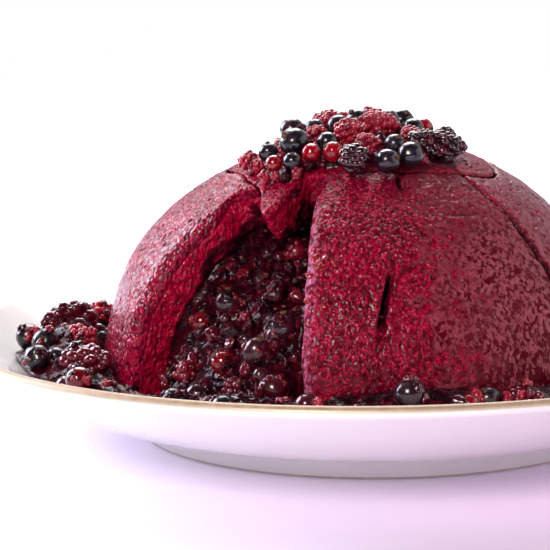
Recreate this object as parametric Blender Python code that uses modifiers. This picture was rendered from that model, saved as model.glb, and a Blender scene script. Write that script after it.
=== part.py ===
# A summer pudding built together with its plate: a dome of soaked bread slices round a stewed
# berry filling, a heap of berries on the top slice and more stewed fruit round the foot.
# Metres, +Z up. The origin is the middle of the plate's foot ring, on the table.
# The side with the cut opening faces -Y. Azimuths run round the pudding from -Y towards +X,
# in degrees, and are measured about the dome's own axis.

import math
import random

import bmesh
import bpy
from mathutils import Matrix, Vector, noise

# Plate: a coupe plate on a foot ring
PLATE_RADIUS = 0.140
PLATE_HEIGHT = 0.0362
WELL_RADIUS = 0.082
WELL_HEIGHT = 0.0125
WALL_CURVE = 1.6
RIM_THICKNESS = 0.0038
BASE_THICKNESS = 0.0065
FOOT_RADIUS = 0.0805
FOOT_WIDTH = 0.0062
FOOT_HEIGHT = 0.0050
PLATE_STEPS = 48
WALL_STEPS = 6
RIM_STEPS = 4

# Dome of bread, a superellipse turned about an axis just left of the plate's middle
DOME_X = -0.005
DOME_RADIUS = 0.0875
DOME_SPRING = 0.020
DOME_RISE = 0.0755
DOME_ROUNDNESS = 2.1
SAG = 0.07
SAG_AZIMUTH = 95.0
SAG_SPREAD = 50.0
BREAD_THICKNESS = 0.014
PLATE_GAP = 0.0006
BREAD_WAVE = 0.0006
BREAD_WAVE_LENGTH = 0.026
BREAD_EDGE = 0.0011
BREAD_EDGE_ANGLE = 50.0
SLICE_GAP = 0.0013
TOP_RADIUS = 0.0445
TOP_UNEVEN = 0.0006
# Swells of the top slice's rim: azimuth, spread, size
TOP_SWELLS = ((-31.0, 8.5, 0.0145), (-46.0, 9.0, 0.0040), (8.0, 24.0, -0.0040), (62.0, 16.0, 0.0045))
SLICE_COLUMNS = 7
SLICE_ROWS = 7
TOP_SEGMENTS = 8

# Filling: a core a hair inside the bread, scooped out behind the cut opening
CORE_CLEARANCE = 0.0010
CORE_FOOT = 0.0133
CORE_STEPS = 40
CORE_CLIMBS = (70.0, 56.0, 44.0, 33.0, 23.0, 14.0, 6.0, 0.0)
CORE_LAST_COLUMN = -13.5
SCOOP_DEPTH = 0.011
SCOOP_HEIGHT = 0.068
SCOOP_SPREAD = 0.014
SPILL_REACH = 0.0085
SPILL_HEIGHT = 0.021
SPILL_SPREAD = 0.016
CHEEK_SHOULDER = 9.0
LUMP_SIZE = 0.009
LUMP_HEIGHT = 0.0018

# Stewed fruit round the foot of the pudding
MOAT_CLEARANCE = 0.0005
MOAT_INNER = DOME_RADIUS + 0.0012
MOAT_WIDTH = 0.012
MOAT_HEIGHT = 0.0118
MOAT_TOE = 0.0008
MOAT_UNEVEN = 0.0016
MOAT_FRONT = (-36.0, -25.0)
MOAT_SHARES = (0.0, 0.22, 0.50, 0.78, 1.0)
BERRY_LIMIT = 0.84
HEAP_AZIMUTH = -86.0
HEAP_SPREAD = 27.0
HEAP_WIDTH = 0.018
HEAP_HEIGHT = 0.0042
DIP_AZIMUTH = -48.0
DIP_SPREAD = 17.0
DIP_DEPTH = 0.0075
MOAT_STEPS = 36

# Fruit
FRUIT_GAP = 0.00035
FRUIT_SEED = 11
STUB_INSET = 0.28
STUB_LEAN = ((-1.0, 1.0), (-1.0, 0.3), (-0.3, 1.0))
STUB_RISE = 0.07
DRUPELET_COLUMNS = 12
DRUPELET_ROWS = 8
DRUPELET_DIP = 0.86
DRUPELET_TAPER = 0.10

# The cut opening: azimuth of each cheek by height, as (height, azimuth)
LEFT_CHEEK = (
    (0.013, -59.0), (0.040, -57.0), (0.055, -54.5), (0.068, -51.5),
    (0.075, -47.5), (0.0785, -37.0), (0.081, -33.0),
)
RIGHT_CHEEK = ((0.013, -12.0), (0.056, -13.0), (0.070, -14.0), (0.080, -15.8), (0.088, -15.8))
FRONT_RIGHT = ((0.013, 50.0), (0.059, 48.0), (0.073, 46.0), (0.082, 42.5), (0.088, 43.0))

# Seams between the slices, after the front slice's right side, as azimuths
SEAMS = (112.0, 176.0, 240.0)

# A knife slit and a nick in the front slice: upper end, lower end, width, depth
SLIT = (Vector((0.0039, -0.0735, 0.0622)), Vector((-0.0002, -0.0835, 0.0438)), 0.0014, 0.005)
NICK = (Vector((0.0072, -0.0440, 0.0855)), Vector((0.0071, -0.0485, 0.0832)), 0.0013, 0.004)


def blend(amount):
    """Smooth step from 0 to 1."""
    amount = min(1.0, max(0.0, amount))
    return amount * amount * (3.0 - 2.0 * amount)


def along(track, height):
    """Value of a (height, value) track at a height, straight between its points."""
    if height <= track[0][0]:
        return track[0][1]
    for (low, start), (high, end) in zip(track, track[1:]):
        if height <= high:
            return start + (end - start) * (height - low) / (high - low)
    return track[-1][1]


def hump(azimuth, centre, spread):
    """Bell curve round the pudding, 1 at its centre."""
    turn = (azimuth - centre + 180.0) % 360.0 - 180.0
    return math.exp(-((turn / spread) ** 2))


def squeeze(azimuth):
    """The pudding is a little out of round: it is narrower on its right."""
    return 1.0 - SAG * hump(azimuth, SAG_AZIMUTH, SAG_SPREAD)


def around(azimuth, radius, height):
    """World point at an azimuth, a distance from the dome's axis as if it were round, and a height."""
    angle = math.radians(azimuth)
    reach = radius * squeeze(azimuth)
    return Vector((DOME_X + reach * math.sin(angle), -reach * math.cos(angle), height))


def azimuth_of(point):
    """Azimuth and distance of a world point about the dome's axis."""
    across = point.x - DOME_X
    return math.degrees(math.atan2(across, -point.y)), math.hypot(across, point.y)


def plate_surface(radius):
    """Height of the plate's upper side at a distance from its middle."""
    rise = max(0.0, (radius - WELL_RADIUS) / (PLATE_RADIUS - WELL_RADIUS))
    return WELL_HEIGHT + (PLATE_HEIGHT - WELL_HEIGHT) * rise ** WALL_CURVE


def plate_under(point):
    """Plate height under a world point."""
    return plate_surface(math.hypot(point.x, point.y))


def dome_height(radius, inset=0.0):
    """Height of the dome, or of a dome inset from it, at a distance from its axis."""
    part = min(1.0, radius / (DOME_RADIUS - inset))
    return DOME_SPRING + (DOME_RISE - inset) * (1.0 - part**DOME_ROUNDNESS) ** (1.0 / DOME_ROUNDNESS)


def dome_radius(climb, inset=0.0):
    """Distance from the axis and height of the dome's meridian; climb is 0 at the spring, 90 on the axis."""
    power = 2.0 / DOME_ROUNDNESS
    if climb <= 0.0:
        return DOME_RADIUS - inset, DOME_SPRING + DOME_RADIUS * math.radians(climb)
    angle = math.radians(min(90.0, climb))
    radius = (DOME_RADIUS - inset) * max(0.0, math.cos(angle)) ** power
    return radius, DOME_SPRING + (DOME_RISE - inset) * math.sin(angle) ** power


def dome_reach(height, inset=0.0):
    """Distance of the dome's surface from its axis at a height."""
    part = min(1.0, max(0.0, height - DOME_SPRING) / (DOME_RISE - inset))
    return (DOME_RADIUS - inset) * (1.0 - part**DOME_ROUNDNESS) ** (1.0 / DOME_ROUNDNESS)


def climb_at(radius):
    """Climb of the meridian where the dome has a given radius."""
    return math.degrees(math.acos(min(1.0, (radius / DOME_RADIUS) ** (DOME_ROUNDNESS / 2.0))))


def top_edge(azimuth):
    """Distance of the top slice's rim from the axis: a round slice with one torn lobe."""
    swells = sum(size * hump(azimuth, middle, spread) for middle, spread, size in TOP_SWELLS)
    uneven = TOP_UNEVEN * math.sin(math.radians(3.0 * azimuth + 40.0))
    return TOP_RADIUS + swells + uneven


def make_material(name, color, roughness, coat=0.0, metallic=0.0):
    """Principled material with one colour."""
    material = bpy.data.materials.new(name)
    material.use_nodes = True
    shader = material.node_tree.nodes["Principled BSDF"]
    shader.inputs["Base Color"].default_value = (*color, 1.0)
    shader.inputs["Roughness"].default_value = roughness
    shader.inputs["Metallic"].default_value = metallic
    shader.inputs["Coat Weight"].default_value = coat
    material.diffuse_color = (*color, 1.0)
    return material


def make_object(name, bm, material, collection):
    """Turn a bmesh into a named object."""
    mesh = bpy.data.meshes.new(name)
    bm.to_mesh(mesh)
    bm.free()
    mesh.shade_smooth()
    mesh.materials.append(material)
    made = bpy.data.objects.new(name, mesh)
    collection.objects.link(made)
    return made


def make_cutter(name, upper, lower, width, depth):
    """Thin blade that stands square to the dome along a line on its surface."""
    middle = (upper + lower) / 2.0
    azimuth, _ = azimuth_of(middle)
    up = (upper - lower).normalized()
    out = around(azimuth, 1.0, 0.0) - around(azimuth, 0.0, 0.0)
    out = (out - up * out.dot(up)).normalized()
    side = out.cross(up)
    frame = Matrix((side, out, up)).transposed().to_4x4()
    size = Matrix.Diagonal((width, 2.0 * depth, (upper - lower).length, 1.0))
    bm = bmesh.new()
    bmesh.ops.create_cube(bm, size=1.0, matrix=Matrix.Translation(middle) @ frame @ size)
    mesh = bpy.data.meshes.new(name)
    bm.to_mesh(mesh)
    bm.free()
    cutter = bpy.data.objects.new(name, mesh)
    cutter.hide_render = True
    cutter.display_type = "WIRE"
    cutters.objects.link(cutter)
    return cutter


def fuse(body, pieces):
    """Join a collection's pieces to a body in one union, and remove the pieces."""
    union = body.modifiers.new("fused_fruit", "BOOLEAN")
    union.operation = "UNION"
    union.operand_type = "COLLECTION"
    union.collection = pieces
    bpy.context.view_layer.update()
    depsgraph = bpy.context.evaluated_depsgraph_get()
    joined = bpy.data.meshes.new_from_object(body.evaluated_get(depsgraph))
    body.modifiers.clear()
    body.data = joined
    for piece in list(pieces.objects):
        bpy.data.objects.remove(piece, do_unlink=True)
    bpy.data.collections.remove(pieces)


def make_plate(material):
    """Coupe plate: a turned profile from the middle of the well, over the rim, to the foot ring."""
    profile = [(0.0, WELL_HEIGHT), (WELL_RADIUS, WELL_HEIGHT)]
    step = (PLATE_RADIUS - WELL_RADIUS) / 1000.0
    slope = (plate_surface(PLATE_RADIUS) - plate_surface(PLATE_RADIUS - step)) / step
    lean = math.atan(slope)
    rim_half = RIM_THICKNESS / 2.0
    wall_end = PLATE_RADIUS - rim_half * (1.0 + math.sin(lean))
    radii = [WELL_RADIUS + (wall_end - WELL_RADIUS) * i / WALL_STEPS for i in range(1, WALL_STEPS + 1)]
    profile += [(radius, plate_surface(radius)) for radius in radii]
    rim_x = wall_end + rim_half * math.sin(lean)
    rim_z = plate_surface(wall_end) - rim_half * math.cos(lean)
    for i in range(1, RIM_STEPS):
        angle = lean + math.pi / 2.0 - math.pi * i / RIM_STEPS
        profile.append((rim_x + rim_half * math.cos(angle), rim_z + rim_half * math.sin(angle)))
    for radius in reversed([WELL_RADIUS] + radii):
        share = (radius - WELL_RADIUS) / (wall_end - WELL_RADIUS)
        thickness = BASE_THICKNESS + (RIM_THICKNESS - BASE_THICKNESS) * share
        top = plate_surface(radius)
        tilt = math.atan((plate_surface(radius + step) - top) / step)
        profile.append((radius + thickness * math.sin(tilt), top - thickness * math.cos(tilt)))
    inner_foot = FOOT_RADIUS - FOOT_WIDTH
    profile += [
        (FOOT_RADIUS, FOOT_HEIGHT),
        (FOOT_RADIUS, 0.0),
        (inner_foot, 0.0),
        (inner_foot, WELL_HEIGHT - BASE_THICKNESS),
        (0.0, WELL_HEIGHT - BASE_THICKNESS),
    ]
    bm = bmesh.new()
    verts = [bm.verts.new((x, 0.0, z)) for x, z in profile]
    for start, end in zip(verts, verts[1:]):
        bm.edges.new((start, end))
    plate = make_object("plate", bm, material, pudding)
    screw = plate.modifiers.new("turned", "SCREW")
    screw.axis = "Z"
    screw.steps = PLATE_STEPS
    screw.render_steps = PLATE_STEPS
    screw.use_merge_vertices = True
    screw.merge_threshold = 0.00005
    screw.use_smooth_shade = True
    return plate


def on_dome(azimuth, climb):
    """Point of the bread's outer surface with its slight unevenness, and the way out of the dome there."""
    radius, height = dome_radius(climb)
    lean = (radius / DOME_RADIUS) ** (DOME_ROUNDNESS - 1.0) / DOME_RADIUS
    lift = (max(0.0, height - DOME_SPRING) / DOME_RISE) ** (DOME_ROUNDNESS - 1.0) / DOME_RISE
    out = (around(azimuth, lean, lift) - around(azimuth, 0.0, 0.0)).normalized()
    point = around(azimuth, radius, height)
    return point + out * BREAD_WAVE * noise.noise(point / BREAD_WAVE_LENGTH), out


def make_bread(name, columns, rows, place, material):
    """Flat slab of bread bent onto the dome; place gives azimuth and climb over the slab's face."""
    bm = bmesh.new()
    bmesh.ops.create_grid(bm, x_segments=columns, y_segments=rows, size=1.0)
    inner = bmesh.ops.extrude_face_region(bm, geom=bm.faces[:])["geom"]
    inner = {item for item in inner if isinstance(item, bmesh.types.BMVert)}
    for vert in bm.verts:
        point, out = on_dome(*place(vert.co.x, vert.co.y))
        vert.co = point - out * BREAD_THICKNESS if vert in inner else point
    bmesh.ops.recalc_face_normals(bm, faces=bm.faces)
    made = make_object(name, bm, material, pudding)
    soft = made.modifiers.new("soft_edges", "BEVEL")
    soft.width = BREAD_EDGE
    soft.segments = 1
    soft.limit_method = "ANGLE"
    soft.angle_limit = math.radians(BREAD_EDGE_ANGLE)
    return made


def make_slice(name, left, right, material):
    """One wall slice between two azimuth tracks, from the plate up to the top slice."""

    def place(x, y):
        climb = 0.0
        for _ in range(3):
            _, height = dome_radius(climb)
            start = along(left, height)
            azimuth = start + (along(right, height) - start) * (x + 1.0) / 2.0
            stand = plate_under(around(azimuth, DOME_RADIUS, 0.0)) + PLATE_GAP
            foot = math.degrees((stand - DOME_SPRING) / DOME_RADIUS)
            climb = foot + (climb_at(top_edge(azimuth) + SLICE_GAP) - foot) * (y + 1.0) / 2.0
        return azimuth, climb

    return make_bread(name, SLICE_COLUMNS, SLICE_ROWS, place, material)


def make_top(material):
    """Round slice that lids the dome, its rim torn where the opening shows it."""

    def place(x, y):
        across = x * math.sqrt(1.0 - y**2 / 2.0)
        deep = y * math.sqrt(1.0 - x**2 / 2.0)
        azimuth = math.degrees(math.atan2(across, -deep))
        return azimuth, climb_at(math.hypot(across, deep) * top_edge(azimuth))

    return make_bread("bread_top", TOP_SEGMENTS, TOP_SEGMENTS, place, material)


def opening_share(azimuth, height):
    """How far a point is inside the cut opening: 0 at its cheeks, 1 well between them."""
    left = along(LEFT_CHEEK, height)
    right = along(RIGHT_CHEEK, height)
    return blend(min(azimuth - left, right - azimuth) / CHEEK_SHOULDER)


def core_reach(azimuth, radius, height):
    """Filling's surface: the inside of the bread, scooped under the top slice and spilling at the foot."""
    share = opening_share(azimuth, height)
    scoop = SCOOP_DEPTH * math.exp(-(((height - SCOOP_HEIGHT) / SCOOP_SPREAD) ** 2))
    spill = SPILL_REACH * math.exp(-((max(0.0, height - SPILL_HEIGHT) / SPILL_SPREAD) ** 2))
    lump = LUMP_HEIGHT * (noise.noise(around(azimuth, radius, height) / LUMP_SIZE) - 0.3)
    thin = (BREAD_THICKNESS + CORE_CLEARANCE) * (1.0 / squeeze(azimuth) - 1.0)
    return radius - thin + share * (spill - scoop + lump)


def turned(profile, steps, start):
    """Bmesh of a round closed solid about the dome's axis, from a profile of (radius, height)."""
    bm = bmesh.new()
    angle = math.radians(start)
    ray = Vector((math.sin(angle), -math.cos(angle), 0.0))
    verts = [bm.verts.new(ray * radius + Vector((DOME_X, 0.0, height))) for radius, height in profile]
    edges = [bm.edges.new(pair) for pair in zip(verts, verts[1:])]
    if profile[0][0] > 0.0:
        edges.append(bm.edges.new((verts[-1], verts[0])))
    bmesh.ops.spin(
        bm,
        geom=verts + edges,
        cent=(DOME_X, 0.0, 0.0),
        axis=(0.0, 0.0, 1.0),
        angle=2.0 * math.pi,
        steps=steps,
        use_merge=True,
    )
    bmesh.ops.remove_doubles(bm, verts=bm.verts, dist=0.00002)
    bmesh.ops.recalc_face_normals(bm, faces=bm.faces)
    return bm


def make_berry_mesh(bm, centre, radius, stretch=1.0, axis=Vector((0.0, 0.0, 1.0))):
    """Plain low berry for a heap, longer along its axis by the stretch."""
    turn = Vector((0.0, 0.0, 1.0)).rotation_difference(axis).to_matrix().to_4x4()
    size = Matrix.Diagonal((radius, radius, radius * stretch, 1.0))
    place = Matrix.Translation(centre) @ turn @ size
    bmesh.ops.create_icosphere(bm, subdivisions=2, radius=1.0, matrix=place)


def fruit_pieces(name, berries, material):
    """Collection of loose berries, each (centre, radius, stretch, axis)."""
    pieces = bpy.data.collections.new(name)
    bpy.context.scene.collection.children.link(pieces)
    for number, (centre, radius, stretch, axis) in enumerate(berries):
        bm = bmesh.new()
        make_berry_mesh(bm, centre, radius, stretch, axis)
        make_object(f"{name}_{number}", bm, material, pieces)
    return pieces


# Fruit that shows in the opening: azimuth, height, radius, stretch
OPENING_FRUIT = (
    (-46.5, 0.0420, 0.0038, 1.0),
    (-41.0, 0.0483, 0.0044, 1.0),
    (-20.5, 0.0431, 0.0044, 1.0),
    (-26.0, 0.0350, 0.0047, 1.35),
    (-33.5, 0.0322, 0.0040, 1.1),
    (-44.0, 0.0275, 0.0042, 1.0),
    (-20.0, 0.0265, 0.0042, 1.2),
    (-29.0, 0.0240, 0.0046, 1.0),
    (-35.0, 0.0400, 0.0045, 1.2),
    (-26.5, 0.0520, 0.0048, 1.2),
    (-36.0, 0.0560, 0.0048, 1.15),
    (-44.5, 0.0600, 0.0042, 1.0),
    (-28.0, 0.0620, 0.0045, 1.0),
    (-38.0, 0.0220, 0.0044, 1.1),
    (-53.0, 0.0225, 0.0042, 1.0),
    (-16.8, 0.0205, 0.0034, 1.0),
)
FRUIT_STAND = 0.30


def make_filling(material):
    """Stewed fruit inside the bread, with the berries that show in the opening fused on."""
    inset = BREAD_THICKNESS + CORE_CLEARANCE
    profile = [dome_radius(climb, inset) for climb in CORE_CLIMBS]
    profile = [(0.0, DOME_SPRING + DOME_RISE - inset)] + profile
    profile += [(DOME_RADIUS - inset, CORE_FOOT), (0.0, CORE_FOOT)]
    bm = turned(profile, CORE_STEPS, CORE_LAST_COLUMN)
    for vert in bm.verts:
        azimuth, radius = azimuth_of(vert.co)
        if radius > LUMP_SIZE:
            vert.co = around(azimuth, core_reach(azimuth, radius, vert.co.z), vert.co.z)
    filling = make_object("filling", bm, material, pudding)
    up = Vector((0.0, 0.0, 1.0))
    berries = []
    for azimuth, height, radius, stretch in OPENING_FRUIT:
        distance = core_reach(azimuth, dome_reach(height, inset), height) + FRUIT_STAND * radius
        tilt = Vector((math.sin(azimuth * 7.0), math.cos(azimuth * 5.0), 0.8)) if stretch > 1.0 else up
        berries.append((around(azimuth, distance, height), radius, stretch, tilt.normalized()))
    fuse(filling, fruit_pieces("filling_fruit", berries, material))
    return filling


def moat_width(azimuth):
    """How far the fruit round the foot reaches out from the pudding."""
    slow = MOAT_UNEVEN * math.sin(math.radians(5.0 * azimuth))
    quick = MOAT_UNEVEN / 2.0 * math.sin(math.radians(11.0 * azimuth + 60.0))
    return MOAT_WIDTH + slow + quick + HEAP_WIDTH * hump(azimuth, HEAP_AZIMUTH, HEAP_SPREAD)


def moat_height(azimuth):
    """Thickness of the fruit round the foot above the plate."""
    uneven = MOAT_UNEVEN * 0.7 * math.sin(math.radians(7.0 * azimuth + 25.0))
    heap = HEAP_HEIGHT * hump(azimuth, HEAP_AZIMUTH, HEAP_SPREAD)
    dip = DIP_DEPTH * hump(azimuth, DIP_AZIMUTH, DIP_SPREAD)
    return MOAT_HEIGHT + uneven + heap - dip


def moat_top(azimuth, share):
    """Height of the pulp above the plate at a share of its width, 0 against the bread."""
    crest = blend((share + 0.25) / 0.5) * (1.0 - blend((share - 0.35) / 0.7))
    return moat_height(azimuth) * crest


# Fruit picked out on the plate: azimuth, distance from the axis, radius, stretch
PLATE_FRUIT = (
    (-79.5, 0.1060, 0.0048, 1.0),
    (-90.0, 0.0990, 0.0060, 1.4),
    (-101.5, 0.0955, 0.0056, 1.2),
    (-66.0, 0.0970, 0.0060, 1.35),
    (-58.0, 0.1040, 0.0043, 1.0),
    (-87.0, 0.1130, 0.0046, 1.0),
    (-97.0, 0.1090, 0.0046, 1.0),
    (-72.0, 0.1120, 0.0044, 1.0),
    (-78.0, 0.0950, 0.0050, 1.0),
    (-110.0, 0.1020, 0.0043, 1.0),
    (0.0, 0.0980, 0.0045, 1.0),
    (8.0, 0.0940, 0.0048, 1.0),
    (15.0, 0.0985, 0.0046, 1.0),
    (29.0, 0.0965, 0.0058, 1.25),
)


def make_moat(material):
    """Ring of stewed fruit on the plate, heaped at the left, with its berries fused on."""
    section = [(share, 1.0) for share in MOAT_SHARES] + [(1.0, 0.0), (0.0, 0.0)]
    profile = [(MOAT_INNER + share * MOAT_WIDTH, level * MOAT_HEIGHT) for share, level in section]
    bm = turned(profile, MOAT_STEPS, 0.0)
    for vert in bm.verts:
        azimuth, radius = azimuth_of(vert.co)
        share = (radius - MOAT_INNER) / MOAT_WIDTH
        level = vert.co.z / MOAT_HEIGHT
        spot = around(azimuth, MOAT_INNER + share * moat_width(azimuth), 0.0)
        pulp = moat_top(azimuth, share) + MOAT_TOE * (1.5 + noise.noise(spot / LUMP_SIZE))
        spot.z = plate_under(spot) + MOAT_CLEARANCE + level * pulp
        vert.co = spot
    moat = make_object("fruit_moat", bm, material, pudding)
    draw = random.Random(FRUIT_SEED)
    spots = list(PLATE_FRUIT)
    azimuth = 40.0
    while azimuth < 238.0:
        width = moat_width(azimuth)
        distance = MOAT_INNER + width * draw.uniform(0.42, 0.8)
        spots.append((azimuth, distance, draw.uniform(0.0038, 0.0056), 1.0))
        azimuth += draw.uniform(18.0, 26.0)
    for azimuth in MOAT_FRONT:
        distance = MOAT_INNER + MOAT_WIDTH * draw.uniform(0.45, 0.75)
        spots.append((azimuth, distance, draw.uniform(0.0036, 0.0050), 1.0))
    berries = []
    for azimuth, distance, radius, stretch in spots:
        half = radius * stretch
        distance = min(distance, MOAT_INNER + BERRY_LIMIT * moat_width(azimuth))
        distance = max(distance, MOAT_INNER + half)
        spot = around(azimuth, distance, 0.0)
        share = (distance - MOAT_INNER) / moat_width(azimuth)
        floor = plate_under(around(azimuth, distance + half, 0.0)) + MOAT_CLEARANCE
        rest = plate_under(spot) + moat_top(azimuth, share) + FRUIT_STAND * radius
        spot.z = max(rest, floor + radius)
        lie = Vector((draw.uniform(-1.0, 1.0), draw.uniform(-1.0, 1.0), draw.uniform(-0.2, 0.2))).normalized()
        berries.append((spot, radius, stretch, lie))
    fuse(moat, fruit_pieces("moat_fruit", berries, material))
    return moat


# Heap on the top slice: kind, x and y from the dome's axis, radius, half length of its straight
# part, heading of its long axis in degrees from +X
TOPPING = (
    ("raspberry", -0.0350, -0.0265, 0.0030, 0.0010, 60.0),
    ("blackcurrant", -0.0295, -0.0275, 0.0033, 0.0, 0.0),
    ("redcurrant", -0.0268, -0.0368, 0.0029, 0.0, 0.0),
    ("blackcurrant", -0.0217, -0.0300, 0.0049, 0.0, 0.0),
    ("blackcurrant", -0.0217, -0.0385, 0.0031, 0.0, 0.0),
    ("redcurrant", -0.0159, -0.0356, 0.0032, 0.0, 0.0),
    ("redcurrant", -0.0100, -0.0372, 0.0034, 0.0, 0.0),
    ("raspberry", -0.0147, -0.0207, 0.0038, 0.0006, 80.0),
    ("raspberry", -0.0044, -0.0234, 0.0044, 0.0012, 35.0),
    ("bramble", -0.0024, -0.0449, 0.0047, 0.0008, 95.0),
    ("raspberry", 0.0057, -0.0150, 0.0045, 0.0030, 8.0),
    ("raspberry", 0.0022, -0.0335, 0.0038, 0.0005, 20.0),
    ("blackcurrant", 0.0080, -0.0455, 0.0040, 0.0, 0.0),
    ("blackcurrant", 0.0100, -0.0340, 0.0037, 0.0, 0.0),
    ("blackcurrant", 0.0150, -0.0404, 0.0042, 0.0, 0.0),
    ("bramble", 0.0225, -0.0255, 0.0045, 0.0050, 12.0),
    ("blackcurrant", 0.0148, -0.0150, 0.0038, 0.0, 0.0),
    ("blackcurrant", -0.0082, -0.0130, 0.0040, 0.0, 0.0),
    ("blackcurrant", -0.0158, -0.0110, 0.0036, 0.0, 0.0),
    ("blackcurrant", 0.0082, -0.0050, 0.0042, 0.0, 0.0),
    ("redcurrant", -0.0225, -0.0185, 0.0035, 0.0, 0.0),
    ("blackcurrant", -0.0098, -0.0285, 0.0035, 0.0, 0.0),
    ("redcurrant", 0.0195, -0.0080, 0.0036, 0.0, 0.0),
    ("bramble", 0.0268, -0.0165, 0.0036, 0.0016, 65.0),
    ("blackcurrant", -0.0020, -0.0050, 0.0043, 0.0, 0.0),
    ("raspberry", -0.0110, -0.0020, 0.0044, 0.0015, 150.0),
    ("blackcurrant", -0.0215, -0.0090, 0.0042, 0.0, 0.0),
    ("blackcurrant", 0.0130, 0.0040, 0.0042, 0.0, 0.0),
    ("redcurrant", -0.0070, 0.0070, 0.0037, 0.0, 0.0),
    ("raspberry", 0.0030, 0.0060, 0.0043, 0.0010, 30.0),
    ("raspberry", 0.0165, -0.0250, 0.0034, 0.0006, 10.0),
)
SETTLE_ROUNDS = 80
SLOPE_STEP = 0.001


def berry_spheres(berry):
    """Spheres that cover a berry: one, or three along its length."""
    centre, radius, half, direction = berry
    if half == 0.0:
        return [(centre, radius)]
    return [(centre + direction * half * part, radius) for part in (-1.0, 0.0, 1.0)]


def bread_top_under(x, y):
    """Height of the bread at a place given from the dome's axis."""
    azimuth = math.degrees(math.atan2(x, -y))
    return dome_height(math.hypot(x, y) / squeeze(azimuth))


def seat(berry):
    """Height at which a berry just clears the bread it lies on."""
    height = 0.0
    for centre, radius in berry_spheres(berry):
        distance = math.hypot(centre.x, centre.y)
        outer = 1.0 + SLOPE_STEP / distance
        under = bread_top_under(centre.x, centre.y)
        slope = (bread_top_under(centre.x * outer, centre.y * outer) - under) / SLOPE_STEP
        clear = (radius + BREAD_WAVE + FRUIT_GAP) * math.sqrt(1.0 + slope**2)
        height = max(height, under + clear - centre.z)
    return height


def spread_flat(berries):
    """Push the berries apart sideways until no two of them cross."""
    for _ in range(SETTLE_ROUNDS):
        for first in range(len(berries)):
            for second in range(first):
                shift = Vector((0.0, 0.0, 0.0))
                for centre, radius in berry_spheres(berries[first]):
                    for other_centre, other_radius in berry_spheres(berries[second]):
                        apart = Vector((centre.x - other_centre.x, centre.y - other_centre.y, 0.0))
                        short = radius + other_radius + FRUIT_GAP - apart.length
                        if short > shift.length:
                            shift = apart.normalized() * short
                berries[first][0] += shift * 0.5
                berries[second][0] -= shift * 0.5


def settle_topping():
    """Places of the heap's berries, in the dome's frame: side by side, each down on the bread."""
    berries = []
    for _, x, y, radius, half, heading in TOPPING:
        angle = math.radians(heading)
        level = Vector((math.cos(angle), math.sin(angle), 0.0))
        ahead = bread_top_under(x + level.x * SLOPE_STEP, y + level.y * SLOPE_STEP)
        level.z = (ahead - bread_top_under(x, y)) / SLOPE_STEP
        berries.append([Vector((x, y, 0.0)), radius, half, level.normalized()])
    spread_flat(berries)
    for berry in berries:
        berry[0].z = seat(berry)
    return berries


def currant_mesh(radius):
    """Round currant with the stub of its dried flower at the top."""
    bm = bmesh.new()
    bmesh.ops.create_icosphere(bm, subdivisions=2, radius=radius)
    top = max(bm.verts, key=lambda vert: vert.co.z)
    bmesh.ops.inset_region(
        bm,
        faces=list(top.link_faces),
        thickness=STUB_INSET * radius,
        depth=STUB_RISE * radius,
        use_even_offset=True,
    )
    return bm


def drupelet_mesh(radius, half):
    """Raspberry or bramble: a blunt cone whose rows of drupelets stand out by turns."""
    bm = bmesh.new()
    bmesh.ops.create_uvsphere(bm, u_segments=DRUPELET_COLUMNS, v_segments=DRUPELET_ROWS, radius=1.0)
    for vert in bm.verts:
        level = vert.co.z
        column = round(math.atan2(vert.co.y, vert.co.x) / (2.0 * math.pi) * DRUPELET_COLUMNS)
        row = round(math.acos(max(-1.0, min(1.0, level))) / math.pi * DRUPELET_ROWS)
        bump = 1.0 if (column + row) % 2 == 0 else DRUPELET_DIP
        girth = radius * bump * (1.0 - DRUPELET_TAPER * level) / (1.0 + DRUPELET_TAPER)
        vert.co.x *= girth
        vert.co.y *= girth
        vert.co.z = level * radius * bump + half * level
    return bm


def make_topping(materials):
    """The heap of loose berries on the top slice, each its own piece."""
    draw = random.Random(FRUIT_SEED + 1)
    counts = {}
    for (kind, _, _, radius, half, _), (centre, _, _, direction) in zip(TOPPING, settle_topping()):
        counts[kind] = counts.get(kind, 0) + 1
        if kind in ("raspberry", "bramble"):
            bm = drupelet_mesh(radius, half)
            axis = direction
        else:
            bm = currant_mesh(radius * 0.96)
            axis = Vector([draw.uniform(low, high) for low, high in STUB_LEAN]).normalized()
        berry = make_object(f"{kind}_{counts[kind]:02d}", bm, materials[kind], pudding)
        berry.rotation_mode = "QUATERNION"
        berry.rotation_quaternion = Vector((0.0, 0.0, 1.0)).rotation_difference(axis)
        berry.location = centre + Vector((DOME_X, 0.0, 0.0))


for old in list(bpy.data.objects):
    bpy.data.objects.remove(old, do_unlink=True)
pudding = bpy.data.collections.new("summer_pudding")
cutters = bpy.data.collections.new("cutters")
bpy.context.scene.collection.children.link(pudding)
bpy.context.scene.collection.children.link(cutters)

porcelain = make_material("glazed_porcelain", (0.86, 0.84, 0.85), 0.12, coat=0.4)
soaked_bread = make_material("soaked_bread", (0.26, 0.010, 0.045), 0.42, coat=0.25)
top_bread = make_material("top_bread", (0.22, 0.012, 0.040), 0.45, coat=0.2)
stewed_fruit = make_material("stewed_fruit", (0.075, 0.004, 0.014), 0.16, coat=0.5)
plate_fruit = make_material("plate_fruit", (0.085, 0.005, 0.016), 0.18, coat=0.5)
fruit_skins = {
    "blackcurrant": make_material("blackcurrant_skin", (0.012, 0.010, 0.020), 0.18, coat=0.4),
    "redcurrant": make_material("redcurrant_skin", (0.38, 0.006, 0.020), 0.14, coat=0.4),
    "raspberry": make_material("raspberry_skin", (0.36, 0.018, 0.060), 0.34, coat=0.2),
    "bramble": make_material("bramble_skin", (0.050, 0.005, 0.016), 0.20, coat=0.4),
}

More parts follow.
